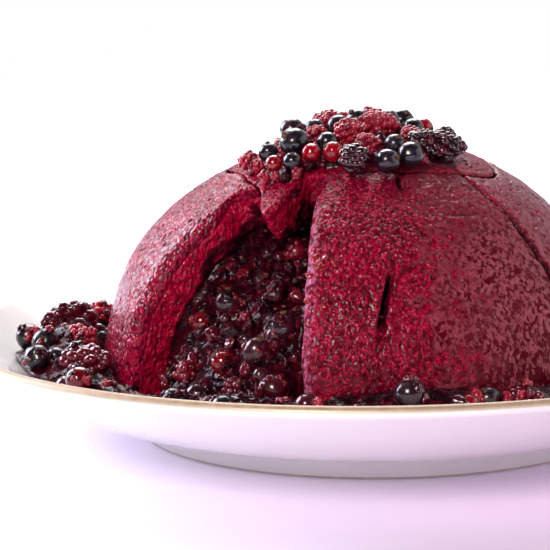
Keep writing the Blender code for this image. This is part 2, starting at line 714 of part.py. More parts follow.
make_plate(porcelain)
front = make_slice("bread_front", RIGHT_CHEEK, FRONT_RIGHT, soaked_bread)
for cutter_name, cut in (("slit", SLIT), ("nick", NICK)):
    knife = front.modifiers.new(cutter_name, "BOOLEAN")
    knife.object = make_cutter(cutter_name, *cut)
gap = math.degrees(SLICE_GAP / DOME_RADIUS)
tracks = [[(height, azimuth + gap) for height, azimuth in FRONT_RIGHT]]
for seam in SEAMS:
    tracks += [((0.0, seam - gap / 2.0),), ((0.0, seam + gap / 2.0),)]
turn_back = [(height, azimuth - 360.0) for height, azimuth in tracks.pop()]
make_slice("bread_right", tracks[0], tracks[1], soaked_bread)
make_slice("bread_back_right", tracks[2], tracks[3], soaked_bread)
make_slice("bread_back_left", tracks[4], tracks[5], soaked_bread)
make_slice("bread_left", turn_back, LEFT_CHEEK, soaked_bread)
make_top(top_bread)
make_filling(stewed_fruit)
make_moat(plate_fruit)
make_topping(fruit_skins)
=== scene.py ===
import math
import random

import bmesh
import bpy
from mathutils import Matrix, Vector, noise


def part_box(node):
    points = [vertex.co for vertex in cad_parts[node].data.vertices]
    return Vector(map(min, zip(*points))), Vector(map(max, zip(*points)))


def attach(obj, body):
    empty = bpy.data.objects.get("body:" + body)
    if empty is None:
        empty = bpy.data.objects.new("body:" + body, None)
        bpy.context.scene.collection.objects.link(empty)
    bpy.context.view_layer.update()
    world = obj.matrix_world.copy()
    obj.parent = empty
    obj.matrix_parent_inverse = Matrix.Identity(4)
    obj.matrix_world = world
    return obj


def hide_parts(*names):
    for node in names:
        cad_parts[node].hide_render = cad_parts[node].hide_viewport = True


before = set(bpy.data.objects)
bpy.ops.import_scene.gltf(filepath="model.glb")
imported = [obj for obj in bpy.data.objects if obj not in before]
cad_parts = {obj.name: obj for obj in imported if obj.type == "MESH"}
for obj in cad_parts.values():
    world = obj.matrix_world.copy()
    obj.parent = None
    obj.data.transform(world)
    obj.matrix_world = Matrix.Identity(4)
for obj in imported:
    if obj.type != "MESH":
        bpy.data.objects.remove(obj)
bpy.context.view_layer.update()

# Summer pudding on its plate. Azimuths are degrees round the dome's axis, from -Y (the cut side) towards +X.
up = Vector((0.0, 0.0, 1.0))
noise.seed_set(7)  # else the clock seeds noise_vector

dome = {
    "x": -0.005,
    "radius": 0.0875,
    "spring": 0.020,
    "rise": 0.0755,
    "roundness": 2.1,
    "sag": 0.07,
    "sagAzimuth": 95.0,
    "sagSpread": 50.0,
}

plateShape = {
    "radius": 0.140,
    "height": 0.0362,
    "wellRadius": 0.082,
    "wellHeight": 0.0125,
    "wallCurve": 1.6,
    "rimThickness": 0.0038,
    "baseThickness": 0.0065,
    "footRadius": 0.0805,
    "footWidth": 0.0062,
    "footHeight": 0.0050,
    "footBevel": 0.0007,
    "turns": 288,
    "wallSteps": 40,
    "rimSteps": 14,
    "gilding": (3, 8),  # steps of the rounded rim that carry the gold line
    "giltPaintedSheen": (0.0326, 0.0344),
}


# Small shape helpers

def ease(amount):
    amount = min(1.0, max(0.0, amount))
    return amount * amount * (3.0 - 2.0 * amount)


def along(track, height):
    if height <= track[0][0]:
        return track[0][1]
    for (low, start), (high, end) in zip(track, track[1:]):
        if height <= high:
            return start + (end - start) * (height - low) / (high - low)
    return track[-1][1]


def hump(azimuth, centre, spread):
    turn = (azimuth - centre + 180.0) % 360.0 - 180.0
    return math.exp(-((turn / spread) ** 2))


def squeeze(azimuth):
    return 1.0 - dome["sag"] * hump(azimuth, dome["sagAzimuth"], dome["sagSpread"])


def around(azimuth, radius, height):
    angle = math.radians(azimuth)
    reach = radius * squeeze(azimuth)
    return Vector((dome["x"] + reach * math.sin(angle), -reach * math.cos(angle), height))


def azimuthOf(point):
    across = point.x - dome["x"]
    return math.degrees(math.atan2(across, -point.y)), math.hypot(across, point.y)


def outwards(azimuth):
    angle = math.radians(azimuth)
    return Vector((math.sin(angle), -math.cos(angle), 0.0))


def plateHeight(radius):
    p = plateShape
    rise = max(0.0, (radius - p["wellRadius"]) / (p["radius"] - p["wellRadius"]))
    return p["wellHeight"] + (p["height"] - p["wellHeight"]) * rise ** p["wallCurve"]


def plateUnder(point):
    return plateHeight(math.hypot(point.x, point.y))


def domeRadius(climb, inset=0.0):
    power = 2.0 / dome["roundness"]
    if climb <= 0.0:
        return dome["radius"] - inset, dome["spring"] + dome["radius"] * math.radians(climb)
    angle = math.radians(min(90.0, climb))
    radius = (dome["radius"] - inset) * max(0.0, math.cos(angle)) ** power
    return radius, dome["spring"] + (dome["rise"] - inset) * math.sin(angle) ** power


def domeReach(height, inset=0.0):
    part = min(1.0, max(0.0, height - dome["spring"]) / (dome["rise"] - inset))
    return (dome["radius"] - inset) * (1.0 - part ** dome["roundness"]) ** (1.0 / dome["roundness"])


def domeHeight(radius):
    part = min(1.0, radius / dome["radius"])
    return dome["spring"] + dome["rise"] * (1.0 - part ** dome["roundness"]) ** (1.0 / dome["roundness"])


def climbAt(radius):
    return math.degrees(math.acos(min(1.0, (radius / dome["radius"]) ** (dome["roundness"] / 2.0))))


def onDome(azimuth, climb):
    # point of the bread's outer face and the way out of the dome there
    radius, height = domeRadius(climb)
    power = dome["roundness"] - 1.0
    lean = (radius / dome["radius"]) ** power / dome["radius"]
    lift = (max(0.0, height - dome["spring"]) / dome["rise"]) ** power / dome["rise"]
    out = (around(azimuth, lean, lift) - around(azimuth, 0.0, 0.0)).normalized()
    point = around(azimuth, radius, height)
    wave = bread["wave"] * noise.noise(point / bread["waveLength"])
    return point + out * wave, out


def outOf(point):
    azimuth, distance = azimuthOf(point)
    power = dome["roundness"] - 1.0
    lean = (distance / squeeze(azimuth) / dome["radius"]) ** power / dome["radius"]
    lift = (max(0.0, point.z - dome["spring"]) / dome["rise"]) ** power / dome["rise"]
    return (outwards(azimuth) * lean + up * lift).normalized()


def depthUnder(point):
    # how far a point is under the dome's outer face
    azimuth, distance = azimuthOf(point)
    reach = distance / squeeze(azimuth)
    if point.z <= dome["spring"]:
        return dome["radius"] - reach
    level = (reach / dome["radius"]) ** dome["roundness"]
    level += ((point.z - dome["spring"]) / dome["rise"]) ** dome["roundness"]
    return (1.0 - level ** (1.0 / dome["roundness"])) * dome["rise"]


# Small object helpers

def meshFrom(name, bm):
    mesh = bpy.data.meshes.new(name)
    bm.to_mesh(mesh)
    bm.free()
    return mesh


def addObject(name, data):
    made = bpy.data.objects.new(name, data)
    bpy.context.scene.collection.objects.link(made)
    return made


def makePiece(name, bm, finishes, stands=()):
    mesh = meshFrom(name, bm)
    mesh.shade_smooth()
    for finish in finishes:
        mesh.materials.append(finish)
    piece = addObject(name, mesh)
    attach(piece, "root")
    if stands:
        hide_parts(*stands)
    return piece


def applyModifiers(piece):
    bpy.context.view_layer.update()
    depsgraph = bpy.context.evaluated_depsgraph_get()
    made = bpy.data.meshes.new_from_object(piece.evaluated_get(depsgraph))
    old = piece.data
    piece.modifiers.clear()
    piece.data = made
    made.name = piece.name
    bpy.data.meshes.remove(old)


def turned(profile, steps, middle):
    # radii and heights spun round an upright axis at x = middle
    bm = bmesh.new()
    verts = [bm.verts.new((middle, -radius, height)) for radius, height in profile]
    edges = [bm.edges.new(pair) for pair in zip(verts, verts[1:])]
    if profile[0][0] > 0.0:
        edges.append(bm.edges.new((verts[-1], verts[0])))
    bmesh.ops.spin(
        bm, geom=verts + edges, cent=(middle, 0.0, 0.0), axis=(0.0, 0.0, 1.0),
        angle=2.0 * math.pi, steps=steps, use_merge=True)
    bmesh.ops.remove_doubles(bm, verts=bm.verts, dist=0.00001)
    bmesh.ops.recalc_face_normals(bm, faces=bm.faces)
    return bm


def doubleGrid(columns, rows):
    # a grid from -1 to 1 with a second skin on it, and that skin's vertices
    bm = bmesh.new()
    bmesh.ops.create_grid(bm, x_segments=columns, y_segments=rows, size=1.0)
    skin = bmesh.ops.extrude_face_region(bm, geom=bm.faces[:])["geom"]
    return bm, {item for item in skin if isinstance(item, bmesh.types.BMVert)}


def ball(bm, steps, matrix=Matrix.Identity(4)):
    return bmesh.ops.create_icosphere(bm, subdivisions=steps, radius=1.0, matrix=matrix)["verts"]


def turnTo(axis, spin=0.0):
    return up.rotation_difference(axis).to_matrix().to_4x4() @ Matrix.Rotation(spin, 4, "Z")


def anyWay(draw, reach=1.0):
    return Vector([draw.uniform(-reach, reach) for _ in range(3)])


# Small material helpers: each adds to the node tree in hand

work = {}


def addNode(kind, settings=None, inputs=None):
    tree = work["tree"]
    node = tree.nodes.new("ShaderNode" + kind)
    for key, value in (settings or {}).items():
        setattr(node, key, value)
    for key, value in (inputs or {}).items():
        socket = node.inputs[key]
        if isinstance(value, bpy.types.NodeSocket):
            tree.links.new(value, socket)
        else:
            socket.default_value = (*value, 1.0) if socket.type == "RGBA" else value
    return node


def newFinish(name, color, roughness, **settings):
    finish = bpy.data.materials.new(name)
    finish.use_nodes = True
    work["tree"] = finish.node_tree
    sockets = {
        "coat": ("Coat Weight", "Coat Roughness", "Coat IOR"),
        "soft": ("Subsurface Weight", "Subsurface Radius", "Subsurface Scale"),
        "ior": ("IOR",),
        "specular": ("Specular IOR Level",),
        "metallic": ("Metallic",),
    }
    shader = finish.node_tree.nodes["Principled BSDF"]
    shader.inputs["Base Color"].default_value = (*color, 1.0)
    shader.inputs["Roughness"].default_value = roughness
    for key, values in settings.items():
        for socket, value in zip(sockets[key], values if isinstance(values, tuple) else (values,)):
            shader.inputs[socket].default_value = value
    return finish


def dress(finish, **links):
    sockets = {
        "color": "Base Color",
        "roughness": "Roughness",
        "coat": "Coat Weight",
        "normal": "Normal",
        "coatNormal": "Coat Normal",
        "glow": "Emission Strength",
    }
    shader = finish.node_tree.nodes["Principled BSDF"]
    for key, value in links.items():
        finish.node_tree.links.new(value, shader.inputs[sockets[key]])
    return finish


def objectSpot(stretch=(1.0, 1.0, 1.0)):
    place = addNode("TexCoord").outputs["Object"]
    return addNode("Mapping", None, {"Vector": place, "Scale": stretch}).outputs["Vector"]


def partOf(spot, axis):
    return addNode("SeparateXYZ", None, {"Vector": spot}).outputs[axis]


def cloud(spot, scale, detail=3.0, roughness=0.55, distortion=0.0):
    inputs = {"Vector": spot, "Scale": scale, "Detail": detail, "Roughness": roughness, "Distortion": distortion}
    return addNode("TexNoise", None, inputs).outputs["Fac"]


def cells(spot, scale):
    return addNode("TexVoronoi", {"feature": "SMOOTH_F1"}, {"Vector": spot, "Scale": scale}).outputs["Distance"]


def stored(name):
    return addNode("Attribute", {"attribute_name": name}).outputs["Fac"]


def remap(value, low, high, newLow=0.0, newHigh=1.0):
    inputs = {"Value": value, "From Min": low, "From Max": high, "To Min": newLow, "To Max": newHigh}
    return addNode("MapRange", {"interpolation_type": "SMOOTHSTEP"}, inputs).outputs["Result"]


def combine(operation, first, second):
    return addNode("Math", {"operation": operation}, {0: first, 1: second}).outputs["Value"]


def times(first, second):
    return combine("MULTIPLY", first, second)


def someCells(pattern, reach, channel, chosen):
    # marks in the middle of some of a pattern's cells
    pick = addNode("SeparateColor", None, {"Color": pattern.outputs["Color"]}).outputs[channel]
    return times(remap(pattern.outputs["Distance"], *reach), remap(pick, *chosen))


def ramp(value, *stops):
    node = addNode("ValToRGB", None, {"Fac": value})
    marks = node.color_ramp.elements
    while len(marks) < len(stops):
        marks.new(0.5)
    for mark, (place, color) in zip(marks, stops):
        mark.position = place
        mark.color = (*color, 1.0)
    return node.outputs["Color"]


def scaled(color, share):
    return tuple(value * share for value in color)


def tint(share, under, over):
    return addNode("Mix", {"data_type": "RGBA"}, {0: share, 6: under, 7: over}).outputs[2]


def relief(height, distance, strength, under=None):
    inputs = {"Height": height, "Distance": distance, "Strength": strength}
    if under:
        inputs["Normal"] = under
    return addNode("Bump", None, inputs).outputs["Normal"]


# Finishes

def porcelainFinish():
    glaze = newFinish("whiteGlaze", (0.85, 0.84, 0.86), 0.16, coat=(0.6, 0.04))
    spot = objectSpot()
    shade = ramp(cloud(spot, 26.0), (0.3, (0.88, 0.87, 0.84)), (0.7, (0.92, 0.91, 0.88)))
    rough = remap(cloud(spot, 60.0, 4.0), 0.3, 0.7, 0.12, 0.2)
    return dress(glaze, color=shade, roughness=rough, normal=relief(cloud(spot, 120.0, 2.0), 0.0004, 0.12))


def gildFinish():
    gold = newFinish("rimGilding", (0.80, 0.58, 0.30), 0.45, metallic=0.25, specular=0.3)
    spot = objectSpot()
    worn = cloud(spot, 340.0, 5.0, 0.7)
    shade = ramp(worn, (0.30, (0.50, 0.37, 0.25)), (0.5, (0.42, 0.29, 0.18)), (0.75, (0.33, 0.21, 0.13)))
    # painted reflection: the lower part of the gold line turns pale, as if it reflected the bright floor
    shade = tint(remap(partOf(spot, "Z"), *plateShape["giltPaintedSheen"], 0.85, 0.0), shade, (0.88, 0.80, 0.66))
    rough = remap(worn, 0.3, 0.7, 0.52, 0.36)
    return dress(gold, color=shade, roughness=rough, normal=relief(worn, 0.0001, 0.3))


def bareClayFinish():
    clay = newFinish("bareFoot", (0.62, 0.55, 0.47), 0.75)
    speckle = cloud(objectSpot(), 1400.0, 4.0, 0.7)
    shade = ramp(speckle, (0.35, (0.50, 0.43, 0.36)), (0.6, (0.68, 0.62, 0.54)))
    return dress(clay, color=shade, normal=relief(speckle, 0.0002, 0.5))


def breadFinish(name, deep, middle, light, cutColor, gloss):
    crumb = newFinish(
        name, middle, 0.45, ior=1.33, specular=0.06, coat=(gloss, 0.11, 1.36),
        soft=(0.10, (0.0018, 0.0003, 0.0005), 1.0))
    spot = objectSpot()
    streaky = objectSpot((1.0, 1.0, 0.6))
    grainy = stored("grainy")
    shade = ramp(cloud(spot, 60.0, 4.0, 0.6), (0.34, deep), (0.52, middle), (0.70, light))
    # painted highlight: a pink-lilac sheen along the front slice's rounded left edge and top lip
    shade = tint(times(stored("paintedEdgeSheen"), 0.85), shade, (0.52, 0.12, 0.27))
    grain = cloud(streaky, 1400.0, 2.0)
    # paler tops of the fine grain, which also stand highest in the bump: partly paler crumb, partly painted light on
    # the grain tops
    paleCrumbAndLitTops = times(remap(grain, 0.50, 0.64, 0.0, 0.8), remap(grainy, 0.0, 0.7, 0.25, 1.0))
    shade = tint(paleCrumbAndLitTops, shade, tuple(value * 1.5 + extra for value, extra in zip(light, (0.0, 0.001, 0.010))))
    knobs = cells(streaky, 1050.0)
    # painted shade in the low gaps between the knobs
    shade = tint(remap(knobs, 0.34, 0.62, 0.0, 0.85), shade, scaled(middle, 0.30))
    # pale crumbs standing out of the surface, their paleness partly real and partly painted light on the raised
    # crumbs
    bead = addNode("TexVoronoi", {"feature": "SMOOTH_F1"}, {"Vector": spot, "Scale": 720.0, "Smoothness": 0.2})
    beads = someCells(bead, (0.46, 0.14), "Green", (0.45, 0.55))
    beads = times(beads, remap(grainy, 0.0, 0.7, 0.1, 0.8))
    shade = tint(beads, shade, (0.62, 0.010, 0.055))
    # open pores, taller than wide, and the pits of the mesh, darkened with painted shade
    pore = addNode("TexVoronoi", None, {"Vector": streaky, "Scale": 520.0})
    shadedPores = combine("MAXIMUM", someCells(pore, (0.36, 0.20), "Red", (0.42, 0.50)), stored("pit"))
    shade = tint(times(shadedPores, 0.85), shade, (0.11, 0.0004, 0.006))
    # where the crust is smooth, a painted mauve-grey sheen stands in for the reflection of the light from the right,
    # broken by gaps darkened with painted shade
    height = partOf(spot, "Z")
    paintedSheenMask = remap(combine("ADD", grainy, cloud(spot, 75.0)), 0.45, 1.05, 1.0, 0.0)
    paintedSheenMask = times(paintedSheenMask, remap(height, 0.066, 0.080, 1.0, 0.35))
    torn = cloud(objectSpot((1.0, 1.0, 0.7)), 640.0, 3.0, 0.60, 0.4)
    # more gaps towards the bottom, so that it is darker there: painted shade
    torn = combine("ADD", torn, remap(height, 0.018, 0.046, 0.07, 0.0))
    gaps = times(combine("MAXIMUM", remap(torn, 0.51, 0.56), shadedPores), paintedSheenMask)
    paintedSheenColor = ramp(cloud(spot, 900.0), (0.40, (0.225, 0.030, 0.050)), (0.62, (0.33, 0.066, 0.094)))
    shade = tint(times(paintedSheenMask, 0.85), shade, paintedSheenColor)
    shade = tint(gaps, shade, scaled(middle, 0.44))
    # the cut face, and painted shade along seams, cuts and creases and deeper in the cut towards the filling
    cutShade = ramp(cloud(spot, 420.0, 4.0, 0.65), (0.34, scaled(cutColor, 0.35)), (0.56, cutColor))
    shade = tint(stored("cut"), shade, cutShade)
    paintedShadeColor = ramp(cloud(spot, 300.0, 4.0), (0.4, (0.012, 0.0006, 0.004)), (0.7, (0.10, 0.001, 0.012)))
    shade = tint(stored("paintedShade"), shade, paintedShadeColor)
    rough = combine("ADD", remap(grain, 0.35, 0.65, 0.50, 0.30), times(shadedPores, 0.3))
    low = relief(combine("SUBTRACT", beads, combine("MAXIMUM", shadedPores, gaps)), 0.0005, 0.8)
    wavy = relief(combine("SUBTRACT", 1.0, knobs), 0.0005, remap(grainy, 0.0, 1.0, 0.30, 1.0), low)
    fine = relief(grain, 0.0004, remap(grainy, 0.0, 1.0, 0.35, 1.0), wavy)
    dry = combine("MAXIMUM", stored("paintedShade"), times(gaps, 0.85))
    film = times(combine("SUBTRACT", 1.0, dry), gloss)
    return dress(crumb, color=shade, roughness=rough, coat=film, normal=fine, coatNormal=wavy)


def pulpFinish():
    pulp = newFinish(
        "fruitPulp", (0.06, 0.002, 0.010), 0.26, ior=1.36, specular=0.15, coat=(0.32, 0.05, 1.38),
        soft=(0.12, (0.0015, 0.0002, 0.0003), 1.0))
    spot = objectSpot()
    shade = ramp(
        cloud(spot, 260.0, 5.0, 0.62, 0.8), (0.36, (0.005, 0.0004, 0.002)), (0.50, (0.022, 0.0007, 0.005)),
        (0.62, (0.075, 0.0012, 0.009)), (0.76, (0.17, 0.002, 0.015)))
    threads = cloud(objectSpot((1.0, 1.0, 2.6)), 520.0, 3.0, 0.6, 1.0)
    rough = remap(threads, 0.3, 0.7, 0.16, 0.34)
    beads = relief(combine("SUBTRACT", 1.0, cells(spot, 620.0)), 0.0007, 0.7)
    return dress(pulp, color=shade, roughness=rough, normal=relief(threads, 0.0003, 0.5, beads))


def juiceFinish():
    juice = newFinish("berryJuice", (0.30, 0.0030, 0.014), 0.10, coat=(1.0, 0.05, 1.36))
    spot = objectSpot()
    shade = ramp(cloud(spot, 130.0), (0.3, (0.20, 0.0012, 0.010)), (0.7, (0.42, 0.004, 0.020)))
    return dress(juice, color=shade, normal=relief(cloud(spot, 300.0, 2.0), 0.0004, 0.3))


berrySkins = {
    # blotches: scale and color stops; the darkening of stewed fruit, also painted shade on the fruit in the cut: from
    # which stored shade, how much, to what color
    "blackSkin": {
        "base": ("blackcurrantSkin", (0.010, 0.006, 0.014), 0.24),
        "coat": (0.9, 0.05, 1.42),
        "blotches": (
            260.0, (0.3, (0.004, 0.003, 0.007)), (0.55, (0.010, 0.005, 0.012)), (0.8, (0.045, 0.003, 0.012))),
        "bloom": (0.030, 0.040, 0.085),
        "stewed": (0.62, 0.8, (0.070, 0.001, 0.010)),
        "roughness": (0.18, 0.36),
        "bumps": (700.0, 0.25),
    },
    "redSkin": {
        "base": ("redcurrantSkin", (0.30, 0.0015, 0.008), 0.16),
        "coat": (1.0, 0.04, 1.42),
        "soft": (0.35, (0.003, 0.0002, 0.0003), 1.0),
        "blotches": (
            240.0, (0.3, (0.15, 0.0006, 0.006)), (0.55, (0.34, 0.0012, 0.010)), (0.8, (0.46, 0.003, 0.016))),
        "veins": (0.50, 0.012, 0.03),
        "stewed": (0.45, 0.85, (0.10, 0.0005, 0.006)),
        "bumps": (600.0, 0.3),
    },
    "raspberry": {
        "base": ("raspberryFlesh", (0.34, 0.006, 0.026), 0.28),
        "coat": (0.8, 0.08, 1.40),
        "soft": (0.30, (0.0025, 0.0003, 0.0005), 1.0),
        "blotches": (
            260.0, (0.32, (0.13, 0.0008, 0.010)), (0.52, (0.36, 0.004, 0.028)), (0.72, (0.56, 0.022, 0.072))),
        "stewed": (0.4, 0.88, (0.085, 0.0006, 0.008)),
        "roughness": (0.20, 0.36),
        "bumps": (900.0, 0.3),
    },
    "bramble": {
        "base": ("brambleFlesh", (0.04, 0.002, 0.008), 0.2),
        "coat": (0.9, 0.05, 1.42),
        "blotches": (
            280.0, (0.35, (0.010, 0.0006, 0.004)), (0.55, (0.040, 0.001, 0.008)), (0.76, (0.14, 0.002, 0.014))),
        "stewed": (0.4, 0.6, (0.17, 0.002, 0.015)),
        "bumps": (700.0, 0.25),
    },
}


def berryFinish(skin):
    soft = {"soft": skin["soft"]} if "soft" in skin else {}
    berry = newFinish(*skin["base"], ior=1.38, coat=skin["coat"], **soft)
    spot = objectSpot()
    scale, *stops = skin["blotches"]
    blotch = cloud(spot, scale, 4.0)
    shade = ramp(blotch, *stops)
    if "bloom" in skin:
        shade = tint(remap(cloud(spot, 150.0, 5.0, 0.7), 0.50, 0.72, 0.0, 0.22), shade, skin["bloom"])
    if "veins" in skin:
        shade = tint(remap(stored("vein"), 0.84, 0.98, 0.0, 0.25), shade, skin["veins"])
    start, most, stewed = skin["stewed"]
    shade = tint(remap(stored("shade"), start, 1.0, 0.0, most), shade, stewed)
    if "roughness" in skin:
        dress(berry, roughness=remap(blotch, 0.3, 0.7, *skin["roughness"]))
    bumpScale, strength = skin["bumps"]
    return dress(berry, color=shade, normal=relief(cloud(spot, bumpScale), 0.0002, strength))


def driedFinish(name, dark, light):
    dried = newFinish(name, light, 0.7)
    fibres = cloud(objectSpot(), 1500.0, 4.0, 0.7)
    return dress(dried, color=ramp(fibres, (0.35, dark), (0.65, light)), normal=relief(fibres, 0.0002, 0.6))


finishes = {
    "glaze": porcelainFinish(),
    "gilding": gildFinish(),
    "bareFoot": bareClayFinish(),
    # deep, middle and light crumb, cut face, gloss; one crumb in lit and shaded copies: darker on the front slice and
    # lighter on the side and top slices, as painted shade and light
    "bread": breadFinish(
        "soakedBread", (0.11, 0.0004, 0.010), (0.215, 0.0006, 0.019), (0.335, 0.0012, 0.031),
        (0.43, 0.0010, 0.034), 0.55),
    "sideBread": breadFinish(
        "sideBread", (0.15, 0.0006, 0.014), (0.30, 0.0012, 0.030), (0.44, 0.0022, 0.052),
        (0.45, 0.0010, 0.036), 0.9),
    "topBread": breadFinish(
        "topSliceBread", (0.13, 0.0006, 0.011), (0.29, 0.0014, 0.026), (0.42, 0.0024, 0.042),
        (0.37, 0.0028, 0.030), 0.5),
    "pulp": pulpFinish(),
    "juice": juiceFinish(),
    **{key: berryFinish(skin) for key, skin in berrySkins.items()},
    "driedFlower": driedFinish("driedFlower", (0.045, 0.018, 0.008), (0.17, 0.075, 0.03)),
    "seed": driedFinish("berrySeed", (0.12, 0.025, 0.012), (0.26, 0.09, 0.035)),
}
print("finishes ready")


# Plate: the turned profile of the coupe, with a gold line on the rounded rim and a bare foot

def makePlate():
    p = plateShape
    step = (p["radius"] - p["wellRadius"]) / 1000.0
    slope = (plateHeight(p["radius"]) - plateHeight(p["radius"] - step)) / step
    lean = math.atan(slope)
    rimHalf = p["rimThickness"] / 2.0
    wallEnd = p["radius"] - rimHalf * (1.0 + math.sin(lean))
    wall = wallEnd - p["wellRadius"]
    radii = [p["wellRadius"] + wall * i / p["wallSteps"] for i in range(1, p["wallSteps"] + 1)]
    profile = [(p["wellRadius"] * i / 10.0, p["wellHeight"]) for i in range(11)]
    profile += [(radius, plateHeight(radius)) for radius in radii]
    rimX = wallEnd + rimHalf * math.sin(lean)
    rimZ = plateHeight(wallEnd) - rimHalf * math.cos(lean)
    rimStart = len(profile)
    for i in range(1, p["rimSteps"]):
        angle = lean + math.pi / 2.0 - math.pi * i / p["rimSteps"]
        profile.append((rimX + rimHalf * math.cos(angle), rimZ + rimHalf * math.sin(angle)))
    for radius in reversed([p["wellRadius"]] + radii):
        share = (radius - p["wellRadius"]) / wall
        thickness = p["baseThickness"] + (p["rimThickness"] - p["baseThickness"]) * share
        top = plateHeight(radius)
        tilt = math.atan((plateHeight(radius + step) - top) / step)
        profile.append((radius + thickness * math.sin(tilt), top - thickness * math.cos(tilt)))
    innerFoot = p["footRadius"] - p["footWidth"]
    bevel = p["footBevel"]
    underside = p["wellHeight"] - p["baseThickness"]
    profile += [
        (p["footRadius"] + 0.0008, p["footHeight"] + 0.0002),
        (p["footRadius"], p["footHeight"] - 0.0010),
        (p["footRadius"], bevel),
        (p["footRadius"] - bevel * 0.3, bevel * 0.3),
        (p["footRadius"] - bevel, 0.0),
        (innerFoot + bevel, 0.0),
        (innerFoot, bevel),
        (innerFoot, underside - 0.0012),
        (innerFoot - 0.0012, underside),
        (0.0, underside),
    ]
    bm = turned(profile, p["turns"], 0.0)
    giltHigh = profile[rimStart + p["gilding"][0]]
    giltLow = profile[rimStart + p["gilding"][1]]
    for face in bm.faces:
        middle = face.calc_center_median()
        reach = math.hypot(middle.x, middle.y)
        if reach > giltHigh[0] - 0.0004 and middle.z > giltLow[1]:
            face.material_index = 1
        elif middle.z < bevel:
            face.material_index = 2
    used = [finishes[name] for name in ("glaze", "gilding", "bareFoot")]
    makePiece("servingPlate", bm, used, ("plate",))


makePlate()
print("plate turned")


# Bread: slabs bent on the dome, cut, made even by a voxel remesh and then roughened

bread = {
    "thickness": 0.014,
    "plateGap": 0.0006,
    "wave": 0.0006,
    "waveLength": 0.026,
    "edgeRound": 0.0013,
    "sliceGap": 0.0009,
    "topRadius": 0.0445,
    "topUneven": 0.0006,
    "topSwells": (  # azimuth, spread to its left and right, size
        (-28.5, 9.5, 2.8, 0.0170), (-46.0, 9.0, 9.0, 0.0040), (8.0, 24.0, 24.0, -0.0040), (62.0, 16.0, 16.0, 0.0045),
    ),
    "gridSteps": 56,
    "voxel": 0.00055,
    "backVoxel": 0.0008,
    "pitSize": 0.0026,
    "pitDepth": 0.00065,
    "dimple": 0.00016,
    "swell": 0.00045,
    "crumbDepth": 0.00045,
    "ragged": 0.0011,
    "grainyUntil": 27.0,
    "grainyFade": 24.0,
    "cheekRound": 0.0024,
    "cheekSpread": 0.0055,
    "smoothing": 4,
    "lipUntil": 14.0,
    "lipWidth": 0.0011,
    "cutBend": 0.45,  # of the cut's width
    "creaseWidth": 0.0011,
    "openSide": (-75.0, -6.0),  # azimuths whose slice walls show in the cut
}

# height and azimuth down the sides of the slices
leftCheek = (
    (0.013, -59.0), (0.040, -57.0), (0.055, -54.5), (0.068, -51.5), (0.075, -47.5), (0.0785, -37.0), (0.081, -33.0),
)
rightCheek = ((0.013, -12.0), (0.056, -13.0), (0.070, -14.0), (0.080, -15.8), (0.088, -15.8))
frontRight = ((0.013, 50.0), (0.059, 48.0), (0.073, 46.0), (0.082, 42.5), (0.088, 43.0))
seams = (112.0, 176.0, 240.0)
bread["darkSeams"] = (
    ([(height, azimuth + 0.3) for height, azimuth in frontRight], 0.0010),
    *((((0.0, seam if seam < 180.0 else seam - 360.0),), 0.0004) for seam in seams),
)

# upper end, lower end, width, depth
slit = (Vector((0.0041, -0.0725, 0.0640)), Vector((-0.0006, -0.0840, 0.0422)), 0.0012, 0.006)
nick = (Vector((0.0072, -0.0425, 0.0868)), Vector((0.0071, -0.0490, 0.0830)), 0.0016, 0.005)
fold = (Vector((0.0300, -0.0510, 0.0751)), Vector((0.0229, -0.0545, 0.0757)), 0.0008, 0.001)  # a crease only


def topEdge(azimuth):
    reach = bread["topRadius"] + bread["topUneven"] * math.sin(math.radians(3.0 * azimuth + 40.0))
    for middle, leftSpread, rightSpread, size in bread["topSwells"]:
        turn = (azimuth - middle + 180.0) % 360.0 - 180.0
        reach += size * hump(azimuth, middle, leftSpread if turn < 0.0 else rightSpread)
    return reach


def makeBlade(cut):
    upper, lower, width, depth = cut
    middle = (upper + lower) / 2.0
    azimuth, _ = azimuthOf(middle)
    rise = (upper - lower).normalized()
    out = outwards(azimuth)
    out = (out - rise * out.dot(rise)).normalized()
    turn = Matrix((out.cross(rise), out, rise)).transposed().to_4x4()
    size = Matrix.Diagonal((width, 2.0 * depth, (upper - lower).length, 1.0))
    bm = bmesh.new()
    bmesh.ops.create_cube(bm, size=1.0)
    tall = [edge for edge in bm.edges if abs(edge.verts[0].co.z - edge.verts[1].co.z) > 0.5]
    bmesh.ops.subdivide_edges(bm, edges=tall, cuts=7, use_grid_fill=True)
    for vert in bm.verts:  # thin at the ends, bent to one side
        belly = 1.0 - (2.0 * vert.co.z) ** 2
        vert.co.x = vert.co.x * (0.75 + 0.25 * belly) + bread["cutBend"] * belly
    bmesh.ops.transform(bm, verts=bm.verts, matrix=Matrix.Translation(middle) @ turn @ size)
    return addObject("blade", meshFrom("blade", bm))


def arcFrom(track, azimuth, height):
    # how far round the dome an azimuth is from a slice's side, in metres
    return math.radians(azimuth - along(track, height)) * dome["radius"] * 0.9


def pitAt(point):
    # small hollows in the crumb, a little taller than wide
    spot = Vector((point.x, point.y, point.z * 0.62)) / bread["pitSize"]
    distances, centres = noise.voronoi(spot)
    if noise.noise(centres[0] * 3.7) < -0.02:
        return 0.0
    size = 0.40 + 0.22 * noise.noise(centres[0] * 1.9)
    return ease(1.0 - distances[0] / size)


